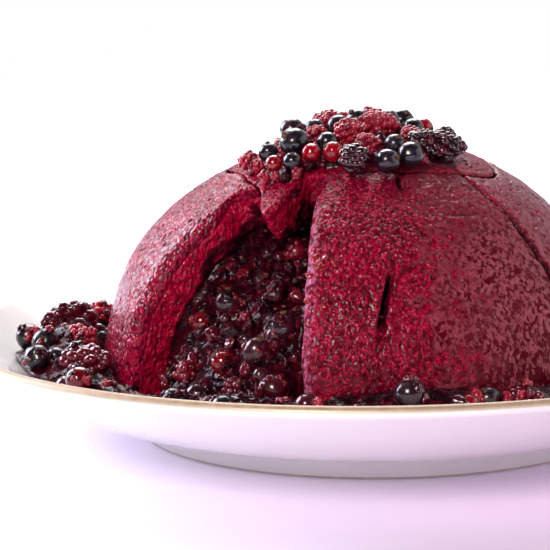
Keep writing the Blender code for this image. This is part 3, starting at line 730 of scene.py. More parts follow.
def creaseAt(point, cut, width):
    # soft groove along a cut with a lip beside it, nearness to the cut, and the groove's floor, which is darkened
    # with painted shade
    upper, lower = cut[0], cut[1]
    rise = upper - lower
    share = (point - lower).dot(rise) / rise.length_squared
    away = point - lower - rise * min(1.35, max(-0.55, share))
    if away.length > width * 5.0:
        return 0.0, 0.0, 0.0
    azimuth, _ = azimuthOf(point)
    side = rise.cross(outwards(azimuth)).normalized().dot(away)
    fade = ease(1.6 - abs(share - 0.4) * 1.6)
    groove = math.exp(-((away.length / width) ** 2))
    lip = math.exp(-(((abs(side) - width * 1.7) / width) ** 2))
    floor = 0.75 * fade * math.exp(-((away.length / (width * 0.5)) ** 2))
    near = ease(1.4 - away.length / width) * ease(3.0 - abs(share - 0.5) * 5.0)
    return fade * (0.00035 * lip - 0.0010 * groove), near, floor


def roughenBread(piece, shadeFrom, creases=(), cheeks=()):
    bm = bmesh.new()
    bm.from_mesh(piece.data)
    for _ in range(bread["smoothing"]):  # takes the remesh's steps off
        bmesh.ops.smooth_vert(bm, verts=bm.verts, factor=0.5, use_axis_x=True, use_axis_y=True, use_axis_z=True)
    bm.normal_update()
    names = ("cut", "pit", "paintedShade", "grainy", "paintedEdgeSheen")
    layers = [bm.verts.layers.float.new(name) for name in names]
    isFront = piece.name == "frontSlice"
    first, last = bread["openSide"]
    places = []
    for vert in bm.verts:
        point = vert.co.copy()
        depth = depthUnder(point)
        inner = ease((depth - 0.0016) / 0.0030)
        outer = 1.0 - inner
        shift = bread["swell"] * (noise.noise(point / 0.011) + 0.5 * noise.noise(point / 0.0055))
        if depth > bread["thickness"] * 0.9:  # the hidden face is all cut face and painted shade
            vert[layers[0]] = vert[layers[2]] = 1.0
            places.append(point)
            continue
        pit = 0.0
        if outer > 0.02:
            pit = outer * pitAt(point)
            rough = 0.55 + 1.3 * ease(0.5 - 1.4 * noise.noise(point / 0.030 + up * 3.0))
            shift -= pit * bread["pitDepth"]
            shift += outer * rough * bread["dimple"] * noise.noise(Vector((point.x, point.y, point.z * 0.7)) / 0.0013)
        if inner > 0.02:
            shift += inner * bread["crumbDepth"] * (noise.noise(point / 0.0030) + noise.noise(point / 0.0012))
        # painted shade in the floors of creases and on the walls of cuts
        seamAndCreaseShade = 0.0
        for cut in creases:
            groove, near, floor = creaseAt(point, cut, bread["creaseWidth"])
            shift += groove
            seamAndCreaseShade = max(seamAndCreaseShade, floor, near * ease((depth - 0.0004) / 0.0008))
        azimuth, _ = azimuthOf(point)
        paintedEdgeSheen = sink = 0.0
        # painted shade on the slice walls where slices meet, outside the open side
        seam = 1.0 - ease((azimuth - first) / 8.0) * ease((last - azimuth) / 4.0)
        seamAndCreaseShade = max(seamAndCreaseShade, seam * ease((depth - 0.0007) / 0.0008))
        for track, wide in bread["darkSeams"]:  # shadow line where two slices meet
            away = abs(arcFrom(track, azimuth, point.z))
            wide *= 1.0 - 0.5 * ease((point.z - 0.072) / 0.012)
            seamAndCreaseShade = max(seamAndCreaseShade, ease(2.0 - away / wide))
            sink += outer * wide * math.exp(-((away / (wide * 1.6)) ** 2))
        for track, side in cheeks:
            away = side * arcFrom(track, azimuth, point.z)
            uneven = 0.85 + 0.6 * noise.noise(point / 0.0055 + up * 7.0)
            left = min(1.0, max(0.0, 1.0 - away / bread["cheekSpread"]))
            sink += outer * bread["cheekRound"] * uneven * left * left
            # painted highlight along the rounded edge, where it faces the light from the left
            wide = 0.15 + 0.4 * ease((point.z - 0.062) / 0.015)
            speckle = 1.3 * noise.noise(point / 0.0026) + 0.7 * noise.noise(point / 0.0011)
            paintedEdgeSheen = max(paintedEdgeSheen, outer * ease(4.0 * left) * ease(1.5 * (left - wide) + speckle))
        # the front slice's top lip stands out a little and carries a painted highlight
        if isFront and azimuth < bread["lipUntil"]:
            over = azimuthOf(point)[1] / squeeze(azimuth) - topEdge(azimuth) - bread["sliceGap"]
            lip = outer * ease(1.4 - over / bread["lipWidth"]) * ease((bread["lipUntil"] - azimuth) / 8.0)
            paintedEdgeSheen = max(paintedEdgeSheen, lip * (0.55 + 0.6 * noise.noise(point / 0.0018)))
            shift += 0.0007 * lip * (0.3 + noise.noise(point / 0.0028))
        edge = 4.0 * inner * outer
        shift += edge * bread["ragged"] * (noise.noise(point / 0.0042) - 0.25)
        # painted shade from this depth into the cut, nearer the outer face higher up on the cut slices
        shadeDepth = shadeFrom - 0.0042 * ease((point.z - 0.045) / 0.02) * (1.0 if cheeks else 0.0)
        paintedShade = max(seamAndCreaseShade, ease((depth - shadeDepth + 0.0055 * noise.noise(point / 0.0052)) / 0.0026))
        patch = 0.5 + 1.4 * noise.noise(point / 0.035 + up * 5.0)
        mottle = 0.6 * noise.noise(point / 0.0075) + 0.45 * noise.noise(point / 0.0030)
        grainy = (bread["grainyUntil"] - azimuth) / bread["grainyFade"] + mottle
        grainy = ease(max(grainy if abs(azimuth) < 90.0 else patch, patch * 0.2))
        for layer, value in zip(layers, (inner, pit, paintedShade, grainy, paintedEdgeSheen if isFront else 0.0)):
            vert[layer] = value
        places.append(point + vert.normal * shift - outOf(point) * sink)
    for vert, place in zip(bm.verts, places):
        vert.co = place
        vert.co.z = max(vert.co.z, plateUnder(place) + 0.0002)
    bm.to_mesh(piece.data)
    bm.free()
    piece.data.shade_smooth()


def makeSlab(name, node, place, finish, voxel, cuts=(), shadeFrom=0.0118, cheeks=()):
    bm, inner = doubleGrid(bread["gridSteps"], bread["gridSteps"])
    for vert in bm.verts:
        point, out = onDome(*place(vert.co.x, vert.co.y))
        vert.co = point - out * bread["thickness"] if vert in inner else point
    bmesh.ops.recalc_face_normals(bm, faces=bm.faces)
    piece = makePiece(name, bm, [finish], (node,))
    soft = piece.modifiers.new("softEdges", "BEVEL")
    soft.width = bread["edgeRound"]
    soft.segments = 3
    soft.limit_method = "ANGLE"
    soft.angle_limit = math.radians(50.0)
    blades = [makeBlade(cut) for cut in cuts]
    for blade in blades:
        piece.modifiers.new("knife", "BOOLEAN").object = blade
    even = piece.modifiers.new("even", "REMESH")
    even.mode = "VOXEL"
    even.voxel_size = voxel
    applyModifiers(piece)
    for blade in blades:
        bpy.data.objects.remove(blade, do_unlink=True)
    roughenBread(piece, shadeFrom, (*cuts, fold) if cuts else (), cheeks)


def sliceBetween(left, right):
    def place(x, y):
        climb = 0.0
        for _ in range(3):
            _, height = domeRadius(climb)
            start = along(left, height)
            azimuth = start + (along(right, height) - start) * (x + 1.0) / 2.0
            stand = plateUnder(around(azimuth, dome["radius"], 0.0)) + bread["plateGap"]
            foot = math.degrees((stand - dome["spring"]) / dome["radius"])
            climb = foot + (climbAt(topEdge(azimuth) + bread["sliceGap"]) - foot) * (y + 1.0) / 2.0
        return azimuth, climb
    return place


def topPlace(x, y):
    across = x * math.sqrt(1.0 - y**2 / 2.0)
    deep = y * math.sqrt(1.0 - x**2 / 2.0)
    azimuth = math.degrees(math.atan2(across, -deep))
    return azimuth, climbAt(math.hypot(across, deep) * topEdge(azimuth))


gap = math.degrees(bread["sliceGap"] / dome["radius"])
tracks = [[(height, azimuth + gap) for height, azimuth in frontRight]]
for seam in seams:
    tracks += [((0.0, seam - gap / 2.0),), ((0.0, seam + gap / 2.0),)]
turnBack = [(height, azimuth - 360.0) for height, azimuth in tracks.pop()]
side = finishes["sideBread"]
makeSlab(
    "frontSlice", "bread_front", sliceBetween(rightCheek, frontRight), finishes["bread"],
    bread["voxel"], (slit, nick), cheeks=((rightCheek, 1.0),))
makeSlab(
    "leftSlice", "bread_left", sliceBetween(turnBack, leftCheek), side,
    bread["voxel"], cheeks=((leftCheek, -1.0),))
for name, node, sides in (
    ("rightSlice", "bread_right", tracks[:2]),
    ("backRightSlice", "bread_back_right", tracks[2:4]),
    ("backLeftSlice", "bread_back_left", tracks[4:]),
):
    makeSlab(name, node, sliceBetween(*sides), side, bread["backVoxel"])
makeSlab("topSlice", "bread_top", topPlace, finishes["topBread"], bread["voxel"], shadeFrom=0.0085)


# juice that has run out on the front slice's edge: azimuth, height, radius
juiceDrops = (
    (-11.6, 0.0651, 0.0013), (-10.4, 0.0637, 0.0017), (-8.8, 0.0650, 0.0012), (-9.3, 0.0622, 0.0013),
    (-6.8, 0.0640, 0.0011), (-12.2, 0.0605, 0.0012), (-7.4, 0.0605, 0.0007), (-10.1, 0.0563, 0.0009),
    (-12.0, 0.0536, 0.0011), (-5.0, 0.0655, 0.0006), (-11.4, 0.0470, 0.0009), (-8.2, 0.0520, 0.0007),
    (-11.9, 0.0400, 0.0009), (-3.4, 0.0600, 0.0006), (-7.0, 0.0440, 0.0006),
)


def makeJuice():
    bm = bmesh.new()
    draw = random.Random(3)
    for azimuth, height, radius in juiceDrops:
        spot = around(azimuth, domeReach(height), height)
        out = outOf(spot)
        left = max(0.0, 1.0 - arcFrom(rightCheek, azimuth, height) / bread["cheekSpread"])
        place = Matrix.Translation(spot - out * (bread["cheekRound"] * 0.8 * left * left))
        turn = turnTo(out, draw.uniform(0.0, 6.28))
        size = Matrix.Diagonal((radius, radius * draw.uniform(0.6, 0.9), radius * 0.42, 1.0))
        made = ball(bm, 3, place @ turn @ size)
        for vert in made:
            vert.co += noise.noise_vector(vert.co / 0.0011) * radius * 0.45
    makePiece("juiceDrops", bm, [finishes["juice"]])


makeJuice()
print("bread laid")


# Berries: one mesh for each kind and variant, copied to its places

berryShape = {
    "currantSteps": 4,
    "smallSteps": 3,
    "drupeletSteps": 3,
    "smallDrupeletSteps": 2,
    "drupeletSize": 0.29,
    "wrinkle": 0.05,
}


def storeOnVerts(bm, name, value):
    layer = bm.verts.layers.float.get(name) or bm.verts.layers.float.new(name)
    for vert in bm.verts:
        vert[layer] = value(vert.co) if callable(value) else value


def paint(verts):
    # gives the faces at these vertices the piece's second material
    faces = {face for vert in verts for face in vert.link_faces}
    for face in faces:
        face.material_index = 1
    return faces


def currantMesh(radius, steps, draw, wrinkle=berryShape["wrinkle"], flower=True):
    bm = bmesh.new()
    ball(bm, steps)
    shift = anyWay(draw, 50.0)
    for vert in bm.verts:
        way = vert.co.normalized()
        swell = 1.0 + wrinkle * noise.noise(way * 1.3 + shift) + 0.35 * wrinkle * noise.noise(way * 4.0 + shift)
        tip = math.acos(max(-1.0, min(1.0, way.z)))
        swell -= 0.07 * math.exp(-((tip / 0.30) ** 2)) + 0.05 * math.exp(-(((math.pi - tip) / 0.22) ** 2))
        vert.co = way * radius * min(1.0, swell)
    storeOnVerts(bm, "vein", lambda co: 0.5 + 0.5 * math.cos(11.0 * math.atan2(co.y, co.x)))
    if flower:
        ring = bmesh.ops.create_cone(
            bm, cap_ends=False, segments=9, radius1=0.20 * radius, radius2=0.27 * radius, depth=0.22 * radius,
            matrix=Matrix.Translation((0.0, 0.0, radius * 0.98)),
        )["verts"]
        petals = paint(ring)
        for vert in ring:
            if vert.co.z > radius:
                vert.co.z += radius * draw.uniform(-0.08, 0.05)
                vert.co.x *= draw.uniform(0.6, 1.1)
                vert.co.y *= draw.uniform(0.6, 1.1)
        bmesh.ops.solidify(bm, geom=list(petals), thickness=0.04 * radius)
        middle = bmesh.ops.create_icosphere(
            bm, subdivisions=1, radius=0.17 * radius, matrix=Matrix.Translation((0.0, 0.0, radius * 0.95)))
        paint(middle["verts"])
    return bm


def clusterMesh(radius, half, steps, draw, size=berryShape["drupeletSize"], hollow=False, share=1.0):
    # uneven drupelets in staggered rows over a blunt cone, the whole berry a little crushed
    bm = bmesh.new()
    grain = radius * size
    reach = radius + half
    rows = max(4, round(math.pi * reach / (grain * 1.72)))
    for row in range(rows + 1):
        slope = math.pi * (row / rows)
        if hollow and slope > 2.75:
            continue
        level = math.cos(slope)
        girth = math.sin(slope) * (radius - grain * 0.8) * (1.0 - 0.10 * level) / 1.10
        count = max(1, round(2.0 * math.pi * girth / (grain * 1.80)))
        for column in range(count):
            if draw.random() > share:
                continue
            angle = 2.0 * math.pi * (column + 0.5 * (row % 2)) / count + draw.uniform(-0.16, 0.16)
            centre = Vector((girth * math.cos(angle), girth * math.sin(angle), level * (reach - grain * 0.8)))
            centre += anyWay(draw, 0.14) * grain
            way = Vector((math.cos(angle) * math.sin(slope), math.sin(angle) * math.sin(slope), level * 0.8))
            way.normalize()
            own = grain * draw.uniform(0.82, 1.12)
            size = Matrix.Diagonal((own, own * draw.uniform(0.85, 1.1), own * 1.05, 1.0))
            ball(bm, steps, Matrix.Translation(centre) @ turnTo(way) @ size)
            if draw.random() < 0.25:  # a dried hair
                lean = (way + anyWay(draw, 0.5)).normalized()
                length = own * draw.uniform(0.5, 0.9)
                root = centre + way * own * 0.98
                made = bmesh.ops.create_cone(
                    bm, cap_ends=True, segments=4, radius1=own * 0.05, radius2=own * 0.02, depth=length,
                    matrix=Matrix.Translation(root + lean * length / 2.0) @ turnTo(lean))
                paint(made["verts"])
    ball(bm, 2, Matrix.Diagonal((radius * 0.74, radius * 0.74, reach * (0.62 if hollow else 0.82), 1.0)))
    shift = anyWay(draw, 50.0)
    for vert in bm.verts:
        bend = noise.noise_vector(vert.co / (radius * 1.3) + shift)
        vert.co += bend * radius * 0.16
    return bm


def pulpMesh(radius, draw):
    # crushed flesh: a lumpy, flattened scrap
    bm = bmesh.new()
    ball(bm, 3)
    shift = anyWay(draw, 50.0)
    flat = draw.uniform(0.45, 0.8)
    for vert in bm.verts:
        way = vert.co.normalized()
        swell = 0.85 + 0.45 * noise.noise(way * 1.6 + shift) + 0.25 * noise.noise(way * 4.5 + shift)
        vert.co = Vector((way.x, way.y, way.z * flat)) * radius * swell
    return bm


def skinMesh(radius, draw):
    # empty, crumpled skin of a burst currant
    bm = bmesh.new()
    ball(bm, 3)
    bmesh.ops.bisect_plane(
        bm, geom=bm.verts[:] + bm.edges[:] + bm.faces[:], clear_outer=True,
        plane_co=(0.0, 0.0, draw.uniform(-0.1, 0.3)), plane_no=(0.0, 0.0, -1.0))
    shift = anyWay(draw, 50.0)
    for vert in bm.verts:
        way = vert.co.copy()
        vert.co = way * radius * (1.0 + 0.35 * noise.noise(way * 1.8 + shift))
        vert.co.x *= 0.75
    bmesh.ops.solidify(bm, geom=bm.faces[:], thickness=0.08 * radius)
    return bm


def seedMesh(radius):
    bm = bmesh.new()
    ball(bm, 2, Matrix.Diagonal((radius * 0.6, radius * 0.45, radius, 1.0)))
    return bm


def keep(count, make, *settings, **more):
    # variants of one kind, a metre in radius
    return [meshFrom("berryKind", make(1.0, *settings, **more)) for _ in range(count)]


def scatter(prefix, spots, shades=(0.0, 1.0)):
    # one piece for each kind; a spot is centre, axis, size in metres and stretch along the axis
    for kind, listed in spots.items():
        if not listed:
            continue
        bm = bmesh.new()
        draw = random.Random(len(listed))
        for number, (centre, axis, size, stretch) in enumerate(listed):
            copy = kinds[kind][number % len(kinds[kind])].copy()
            shape = Matrix.Diagonal((size, size, size * stretch, 1.0))
            copy.transform(Matrix.Translation(centre) @ turnTo(axis, draw.uniform(0.0, 6.28)) @ shape)
            shade = copy.attributes.new("shade", "FLOAT", "POINT")
            shade.data.foreach_set("value", [draw.uniform(*shades)] * len(copy.vertices))
            bm.from_mesh(copy)
            bpy.data.meshes.remove(copy)
        used, slotName = kindFinish[kind]
        makePiece(prefix + kind.capitalize(), bm, used)


draw = random.Random(7)
black = [finishes["blackSkin"], finishes["driedFlower"]]
red = [finishes["redSkin"], finishes["driedFlower"]]
rasp = [finishes["raspberry"], finishes["seed"]]
dark = [finishes["bramble"], finishes["driedFlower"]]
steps = berryShape["smallSteps"]
dropSteps = berryShape["smallDrupeletSteps"]
kinds = {
    "black": keep(4, currantMesh, steps, draw),
    "red": keep(3, currantMesh, steps, draw),
    "wrinkled": keep(3, currantMesh, steps, draw, 0.22, False),
    "raspberry": keep(2, clusterMesh, 0.12, dropSteps, draw, hollow=True),
    "bramble": keep(2, clusterMesh, 0.2, dropSteps, draw, 0.31),
    "scrap": keep(3, clusterMesh, 0.0, dropSteps, draw, 0.42, share=0.7),
    "pulp": keep(4, pulpMesh, draw),
    "skin": keep(3, skinMesh, draw),
    "seed": keep(1, seedMesh),
}
kindFinish = {
    "black": (black, "blackcurrant_skin"),
    "red": (red, "redcurrant_skin"),
    "wrinkled": (black, "blackcurrant_skin"),
    "raspberry": (rasp, "raspberry_skin"),
    "bramble": (dark, "bramble_skin"),
    "scrap": (rasp, "raspberry_skin"),
    "pulp": ([finishes["pulp"], finishes["seed"]], "stewed_fruit"),
    "skin": ([finishes["bramble"], finishes["seed"]], "stewed_fruit"),
    "seed": ([finishes["seed"], finishes["seed"]], "stewed_fruit"),
}
print("berry kinds made")


# Filling: a smooth core behind the bread and a mashed face in the cut opening, with the fruit in it

filling = {
    "clearance": 0.0010,
    "foot": 0.0133,
    "scoopDepth": 0.011,
    "scoopHeight": 0.068,
    "scoopSpread": 0.014,
    "spillReach": 0.0085,
    "spillHeight": 0.021,
    "spillSpread": 0.016,
    "shoulder": 9.0,
    "lumpSize": 0.009,
    "lumpHeight": 0.0018,
    "stand": 0.08,
    "smears": 6,  # scraps stuck on each whole berry
    "faceAzimuth": (-36.0, 29.0),  # middle and half width
    "faceClimb": (-4.3, 66.0),
    "faceColumns": 160,
    "faceRows": 200,
    "faceDepth": 0.0035,
    "faceRim": 0.0012,  # how far the face stands out at its edge
    "coreBack": 0.0012,  # how far the core lies behind the face
    "mash": 0.0019,
    "collar": 0.0016,
    "scraps": 130,
    "scrapHeights": (0.0155, 0.079),
    "scrapSizes": {"pulp": 0.0032, "scrap": 0.0024, "skin": 0.0034, "wrinkled": 0.0026},
    "seeds": 30,
    "seedHeights": (0.016, 0.07),
    "seedSizes": (0.0005, 0.0008),
}

coreInset = bread["thickness"] + filling["clearance"]

# fruit that shows: kind, azimuth, height, radius, stretch
openingFruit = (
    ("red", -46.5, 0.0420, 0.0038, 1.0),
    ("black", -41.0, 0.0483, 0.0044, 1.0),
    ("black", -20.5, 0.0431, 0.0044, 1.0),
    ("black", -26.0, 0.0350, 0.0047, 1.35),
    ("red", -33.5, 0.0322, 0.0040, 1.1),
    ("scrap", -44.0, 0.0275, 0.0042, 1.0),
    ("wrinkled", -20.0, 0.0265, 0.0042, 1.2),
    ("raspberry", -29.0, 0.0240, 0.0046, 1.0),
    ("pulp", -35.0, 0.0400, 0.0045, 1.2),
    ("pulp", -26.5, 0.0520, 0.0048, 1.2),
    ("pulp", -36.0, 0.0560, 0.0048, 1.15),
    ("pulp", -44.5, 0.0600, 0.0042, 1.0),
    ("scrap", -28.0, 0.0620, 0.0045, 1.0),
    ("wrinkled", -38.0, 0.0220, 0.0044, 1.1),
    ("scrap", -53.0, 0.0225, 0.0042, 1.0),
    ("black", -16.8, 0.0205, 0.0034, 1.0),
)


def openingShare(azimuth, height):
    left = along(leftCheek, height)
    right = along(rightCheek, height)
    return ease(min(azimuth - left, right - azimuth) / filling["shoulder"])


def coreReach(azimuth, radius, height):
    share = openingShare(azimuth, height)
    above = height - filling["scoopHeight"]
    scoop = filling["scoopDepth"] * math.exp(-((above / filling["scoopSpread"]) ** 2))
    above = max(0.0, height - filling["spillHeight"])
    spill = filling["spillReach"] * math.exp(-((above / filling["spillSpread"]) ** 2))
    lump = filling["lumpHeight"] * (noise.noise(around(azimuth, radius, height) / filling["lumpSize"]) - 0.3)
    thin = coreInset * (1.0 / squeeze(azimuth) - 1.0)
    return radius - thin + share * (spill - scoop + lump)


def mashAt(point):
    # crushed fruit: soft lumps, patches of drupelets, and drag marks of the spoon higher up
    soft = noise.noise(point / 0.0048) + 0.5 * noise.noise(point / 0.0023)
    distances, _ = noise.voronoi(point / 0.0023)
    beads = ease(1.0 - distances[0] / 0.75)
    patch = ease(0.5 + 1.6 * noise.noise(point / 0.011 + up * 9.0))
    dragged = ease((point.z - 0.040) / 0.012)
    across = point.x * 0.55 - point.z * 0.83
    lengthways = point.x * 0.83 + point.z * 0.55
    drag = noise.noise(Vector((across / 0.0011, lengthways / 0.012, point.y / 0.006)))
    return filling["mash"] * (soft + 0.55 * patch * beads + 0.55 * dragged * drag)


def collarAt(point, berries):
    # pulp drawn up round the whole fruit, so that it sits in the mash
    rise = 0.0
    for centre, radius in berries:
        away = (point - centre).length / radius
        if away < 1.9:
            rise = max(rise, math.exp(-(((away - 1.05) / 0.32) ** 2)))
    return filling["collar"] * rise


def makeFillingCore():
    profile = [(0.0, dome["spring"] + dome["rise"] - coreInset)]
    profile += [domeRadius(climb, coreInset) for climb in range(84, -1, -6)]
    profile += [(dome["radius"] - coreInset, filling["foot"]), (0.0, filling["foot"])]
    bm = turned(profile, 96, dome["x"])
    for vert in bm.verts:
        azimuth, radius = azimuthOf(vert.co)
        if radius > filling["lumpSize"]:
            back = filling["coreBack"] * openingShare(azimuth, vert.co.z)
            vert.co = around(azimuth, coreReach(azimuth, radius, vert.co.z) - back, vert.co.z)
    makePiece("fillingCore", bm, [finishes["pulp"]], ("filling",))


def facePoint(azimuth, height, lift=0.0):
    return around(azimuth, coreReach(azimuth, domeReach(height, coreInset), height) + lift, height)


def makeFillingFace():
    berries = [
        (facePoint(azimuth, height, filling["stand"] * radius), radius)
        for kind, azimuth, height, radius, _ in openingFruit if kind in ("red", "black", "wrinkled", "raspberry")
    ]
    middle, half = filling["faceAzimuth"]
    low, high = filling["faceClimb"]
    bm, inner = doubleGrid(filling["faceColumns"], filling["faceRows"])
    for vert in bm.verts:
        azimuth = middle + half * vert.co.x
        radius, height = domeRadius(low + (high - low) * (vert.co.y + 1.0) / 2.0, coreInset)
        share = openingShare(azimuth, height)
        reach = coreReach(azimuth, radius, height)
        if vert in inner:
            vert.co = around(azimuth, reach - filling["faceDepth"], height)
        else:
            point = around(azimuth, reach, height)
            lift = (0.4 + 0.6 * share) * mashAt(point) + share * collarAt(point, berries)
            lift += filling["faceRim"] * (1.0 - ease(share / 0.35))
            vert.co = point + outwards(azimuth) * lift
    bmesh.ops.recalc_face_normals(bm, faces=bm.faces)
    makePiece("fillingFace", bm, [finishes["pulp"]])


def openingDraw(draw, low, high):
    height = draw.uniform(low, high)
    return draw.uniform(along(leftCheek, height) + 4.0, along(rightCheek, height) - 3.0), height


def openingSpots():
    spots = {kind: [] for kind in kinds}
    for kind, azimuth, height, radius, stretch in openingFruit:
        tilt = Vector((math.sin(azimuth * 7.0), math.cos(azimuth * 5.0), 0.8)) if stretch > 1.0 else up
        centre = facePoint(azimuth, height, filling["stand"] * radius)
        spots[kind].append((centre, tilt.normalized(), radius, stretch))
    draw = random.Random(21)
    whole = [spot for kind in ("red", "black", "wrinkled") for spot in spots[kind]]
    for centre, _, radius, _ in whole:
        for _ in range(filling["smears"]):
            way = Vector((draw.uniform(-1.0, 1.0), draw.uniform(-1.0, -0.1), draw.uniform(-1.0, 1.0))).normalized()
            kind = draw.choice(("pulp", "pulp", "skin", "scrap"))
            size = radius * draw.uniform(0.28, 0.5)
            spots[kind].append((centre + way * (radius - size * 0.2), way, size, 0.7))
    for _ in range(filling["scraps"]):
        azimuth, height = openingDraw(draw, *filling["scrapHeights"])
        kind = draw.choice(("pulp", "pulp", "pulp", "scrap", "scrap", "skin", "skin", "wrinkled"))
        size = filling["scrapSizes"][kind] * draw.uniform(0.7, 1.2)
        axis = anyWay(draw).normalized()
        spots[kind].append((facePoint(azimuth, height, size * draw.uniform(-0.35, 0.2)), axis, size, 1.0))
    for _ in range(filling["seeds"]):
        azimuth, height = openingDraw(draw, *filling["seedHeights"])
        axis = anyWay(draw).normalized()
        spots["seed"].append((facePoint(azimuth, height, 0.0010), axis, draw.uniform(*filling["seedSizes"]), 1.0))
    return spots


makeFillingCore()
makeFillingFace()
# the fruit in the cut is darkened towards its stewed color as painted shade
scatter("opening", openingSpots(), (0.75, 1.0))
print("filling made")


# Stewed fruit round the foot of the pudding

moat = {
    "clearance": 0.0003,
    "inner": dome["radius"] + 0.0002,
    "start": dome["radius"] + 0.0012,  # where berries may lie
    "width": 0.012,
    "height": 0.0118,
    "toe": 0.0008,
    "uneven": 0.0016,
    "front": (-36.0, -25.0),  # azimuths of single berries before the cut
    "back": (40.0, 238.0),  # azimuths with whole berries at random
    "berryLimit": 0.84,
    "heapAzimuth": -86.0,
    "heapSpread": 27.0,
    "heapWidth": 0.018,
    "heapHeight": 0.0042,
    "dipAzimuth": -48.0,
    "dipSpread": 17.0,
    "dipDepth": 0.0075,
    "stand": 0.25,
    "steps": 640,
    "rows": 30,
    "seed": 11,
    "smears": (6, 2),  # on each whole berry, on the photo's side and behind
    "smearSide": 115.0,
    "scraps": 240,
    "scrapSizes": {
        "pulp": 0.0032, "scrap": 0.0027, "skin": 0.0034, "red": 0.0030, "black": 0.0033, "wrinkled": 0.0030,
    },
    "seeds": 90,
    "seedSizes": (0.0007, 0.001),
}

# listed fruit: kind, azimuth, distance from the axis, radius, stretch
plateFruit = (
    ("black", -79.5, 0.1060, 0.0048, 1.0),
    ("bramble", -90.0, 0.0990, 0.0060, 1.4),
    ("raspberry", -101.5, 0.0955, 0.0056, 1.2),
    ("bramble", -66.0, 0.0970, 0.0060, 1.35),
    ("red", -58.0, 0.1040, 0.0043, 1.0),
    ("black", -87.0, 0.1130, 0.0046, 1.0),
    ("wrinkled", -97.0, 0.1090, 0.0046, 1.0),
    ("wrinkled", -72.0, 0.1120, 0.0044, 1.0),
    ("raspberry", -78.0, 0.0950, 0.0050, 1.0),
    ("black", -110.0, 0.1020, 0.0043, 1.0),
    ("black", 0.0, 0.0980, 0.0045, 1.0),
    ("black", 8.0, 0.0940, 0.0048, 1.0),
    ("black", 15.0, 0.0985, 0.0046, 1.0),
    ("bramble", 29.0, 0.0965, 0.0058, 1.25),
)


def moatWidth(azimuth):
    slow = moat["uneven"] * math.sin(math.radians(5.0 * azimuth))
    fast = moat["uneven"] / 2.0 * math.sin(math.radians(11.0 * azimuth + 60.0))
    return moat["width"] + slow + fast + moat["heapWidth"] * hump(azimuth, moat["heapAzimuth"], moat["heapSpread"])


def moatTop(azimuth, share):
    uneven = moat["uneven"] * 0.7 * math.sin(math.radians(7.0 * azimuth + 25.0))
    tall = moat["height"] + uneven + moat["heapHeight"] * hump(azimuth, moat["heapAzimuth"], moat["heapSpread"])
    tall -= moat["dipDepth"] * hump(azimuth, moat["dipAzimuth"], moat["dipSpread"])
    return tall * ease((share + 0.25) / 0.5) * (1.0 - ease((share - 0.35) / 0.7))


def makeMoatCore():
    rows = moat["rows"]
    section = [(row / rows, 1.0) for row in range(rows + 1)] + [(1.0, 0.0), (0.0, 0.0)]
    profile = [(moat["inner"] + share * moat["width"], level * moat["height"]) for share, level in section]
    bm = turned(profile, moat["steps"], dome["x"])
    for vert in bm.verts:
        azimuth, radius = azimuthOf(vert.co)
        share = (radius - moat["inner"]) / moat["width"]
        level = vert.co.z / moat["height"]
        edge = 1.0 + 0.06 * noise.noise(around(azimuth, 0.095, 0.0) / 0.006) * ease(share)
        spot = around(azimuth, moat["inner"] + share * edge * moatWidth(azimuth), 0.0)
        tall = moatTop(azimuth, share) + moat["toe"] * (1.5 + noise.noise(spot / 0.009))
        if level > 0.5:
            tall += 0.8 * mashAt(spot) * (1.0 - ease((share - 0.8) / 0.2)) + 0.0002
        spot.z = plateUnder(spot) + moat["clearance"] + level * max(0.0003, tall)
        vert.co = spot
    bmesh.ops.recalc_face_normals(bm, faces=bm.faces)
    makePiece("moatPulp", bm, [finishes["pulp"]], ("fruit_moat",))


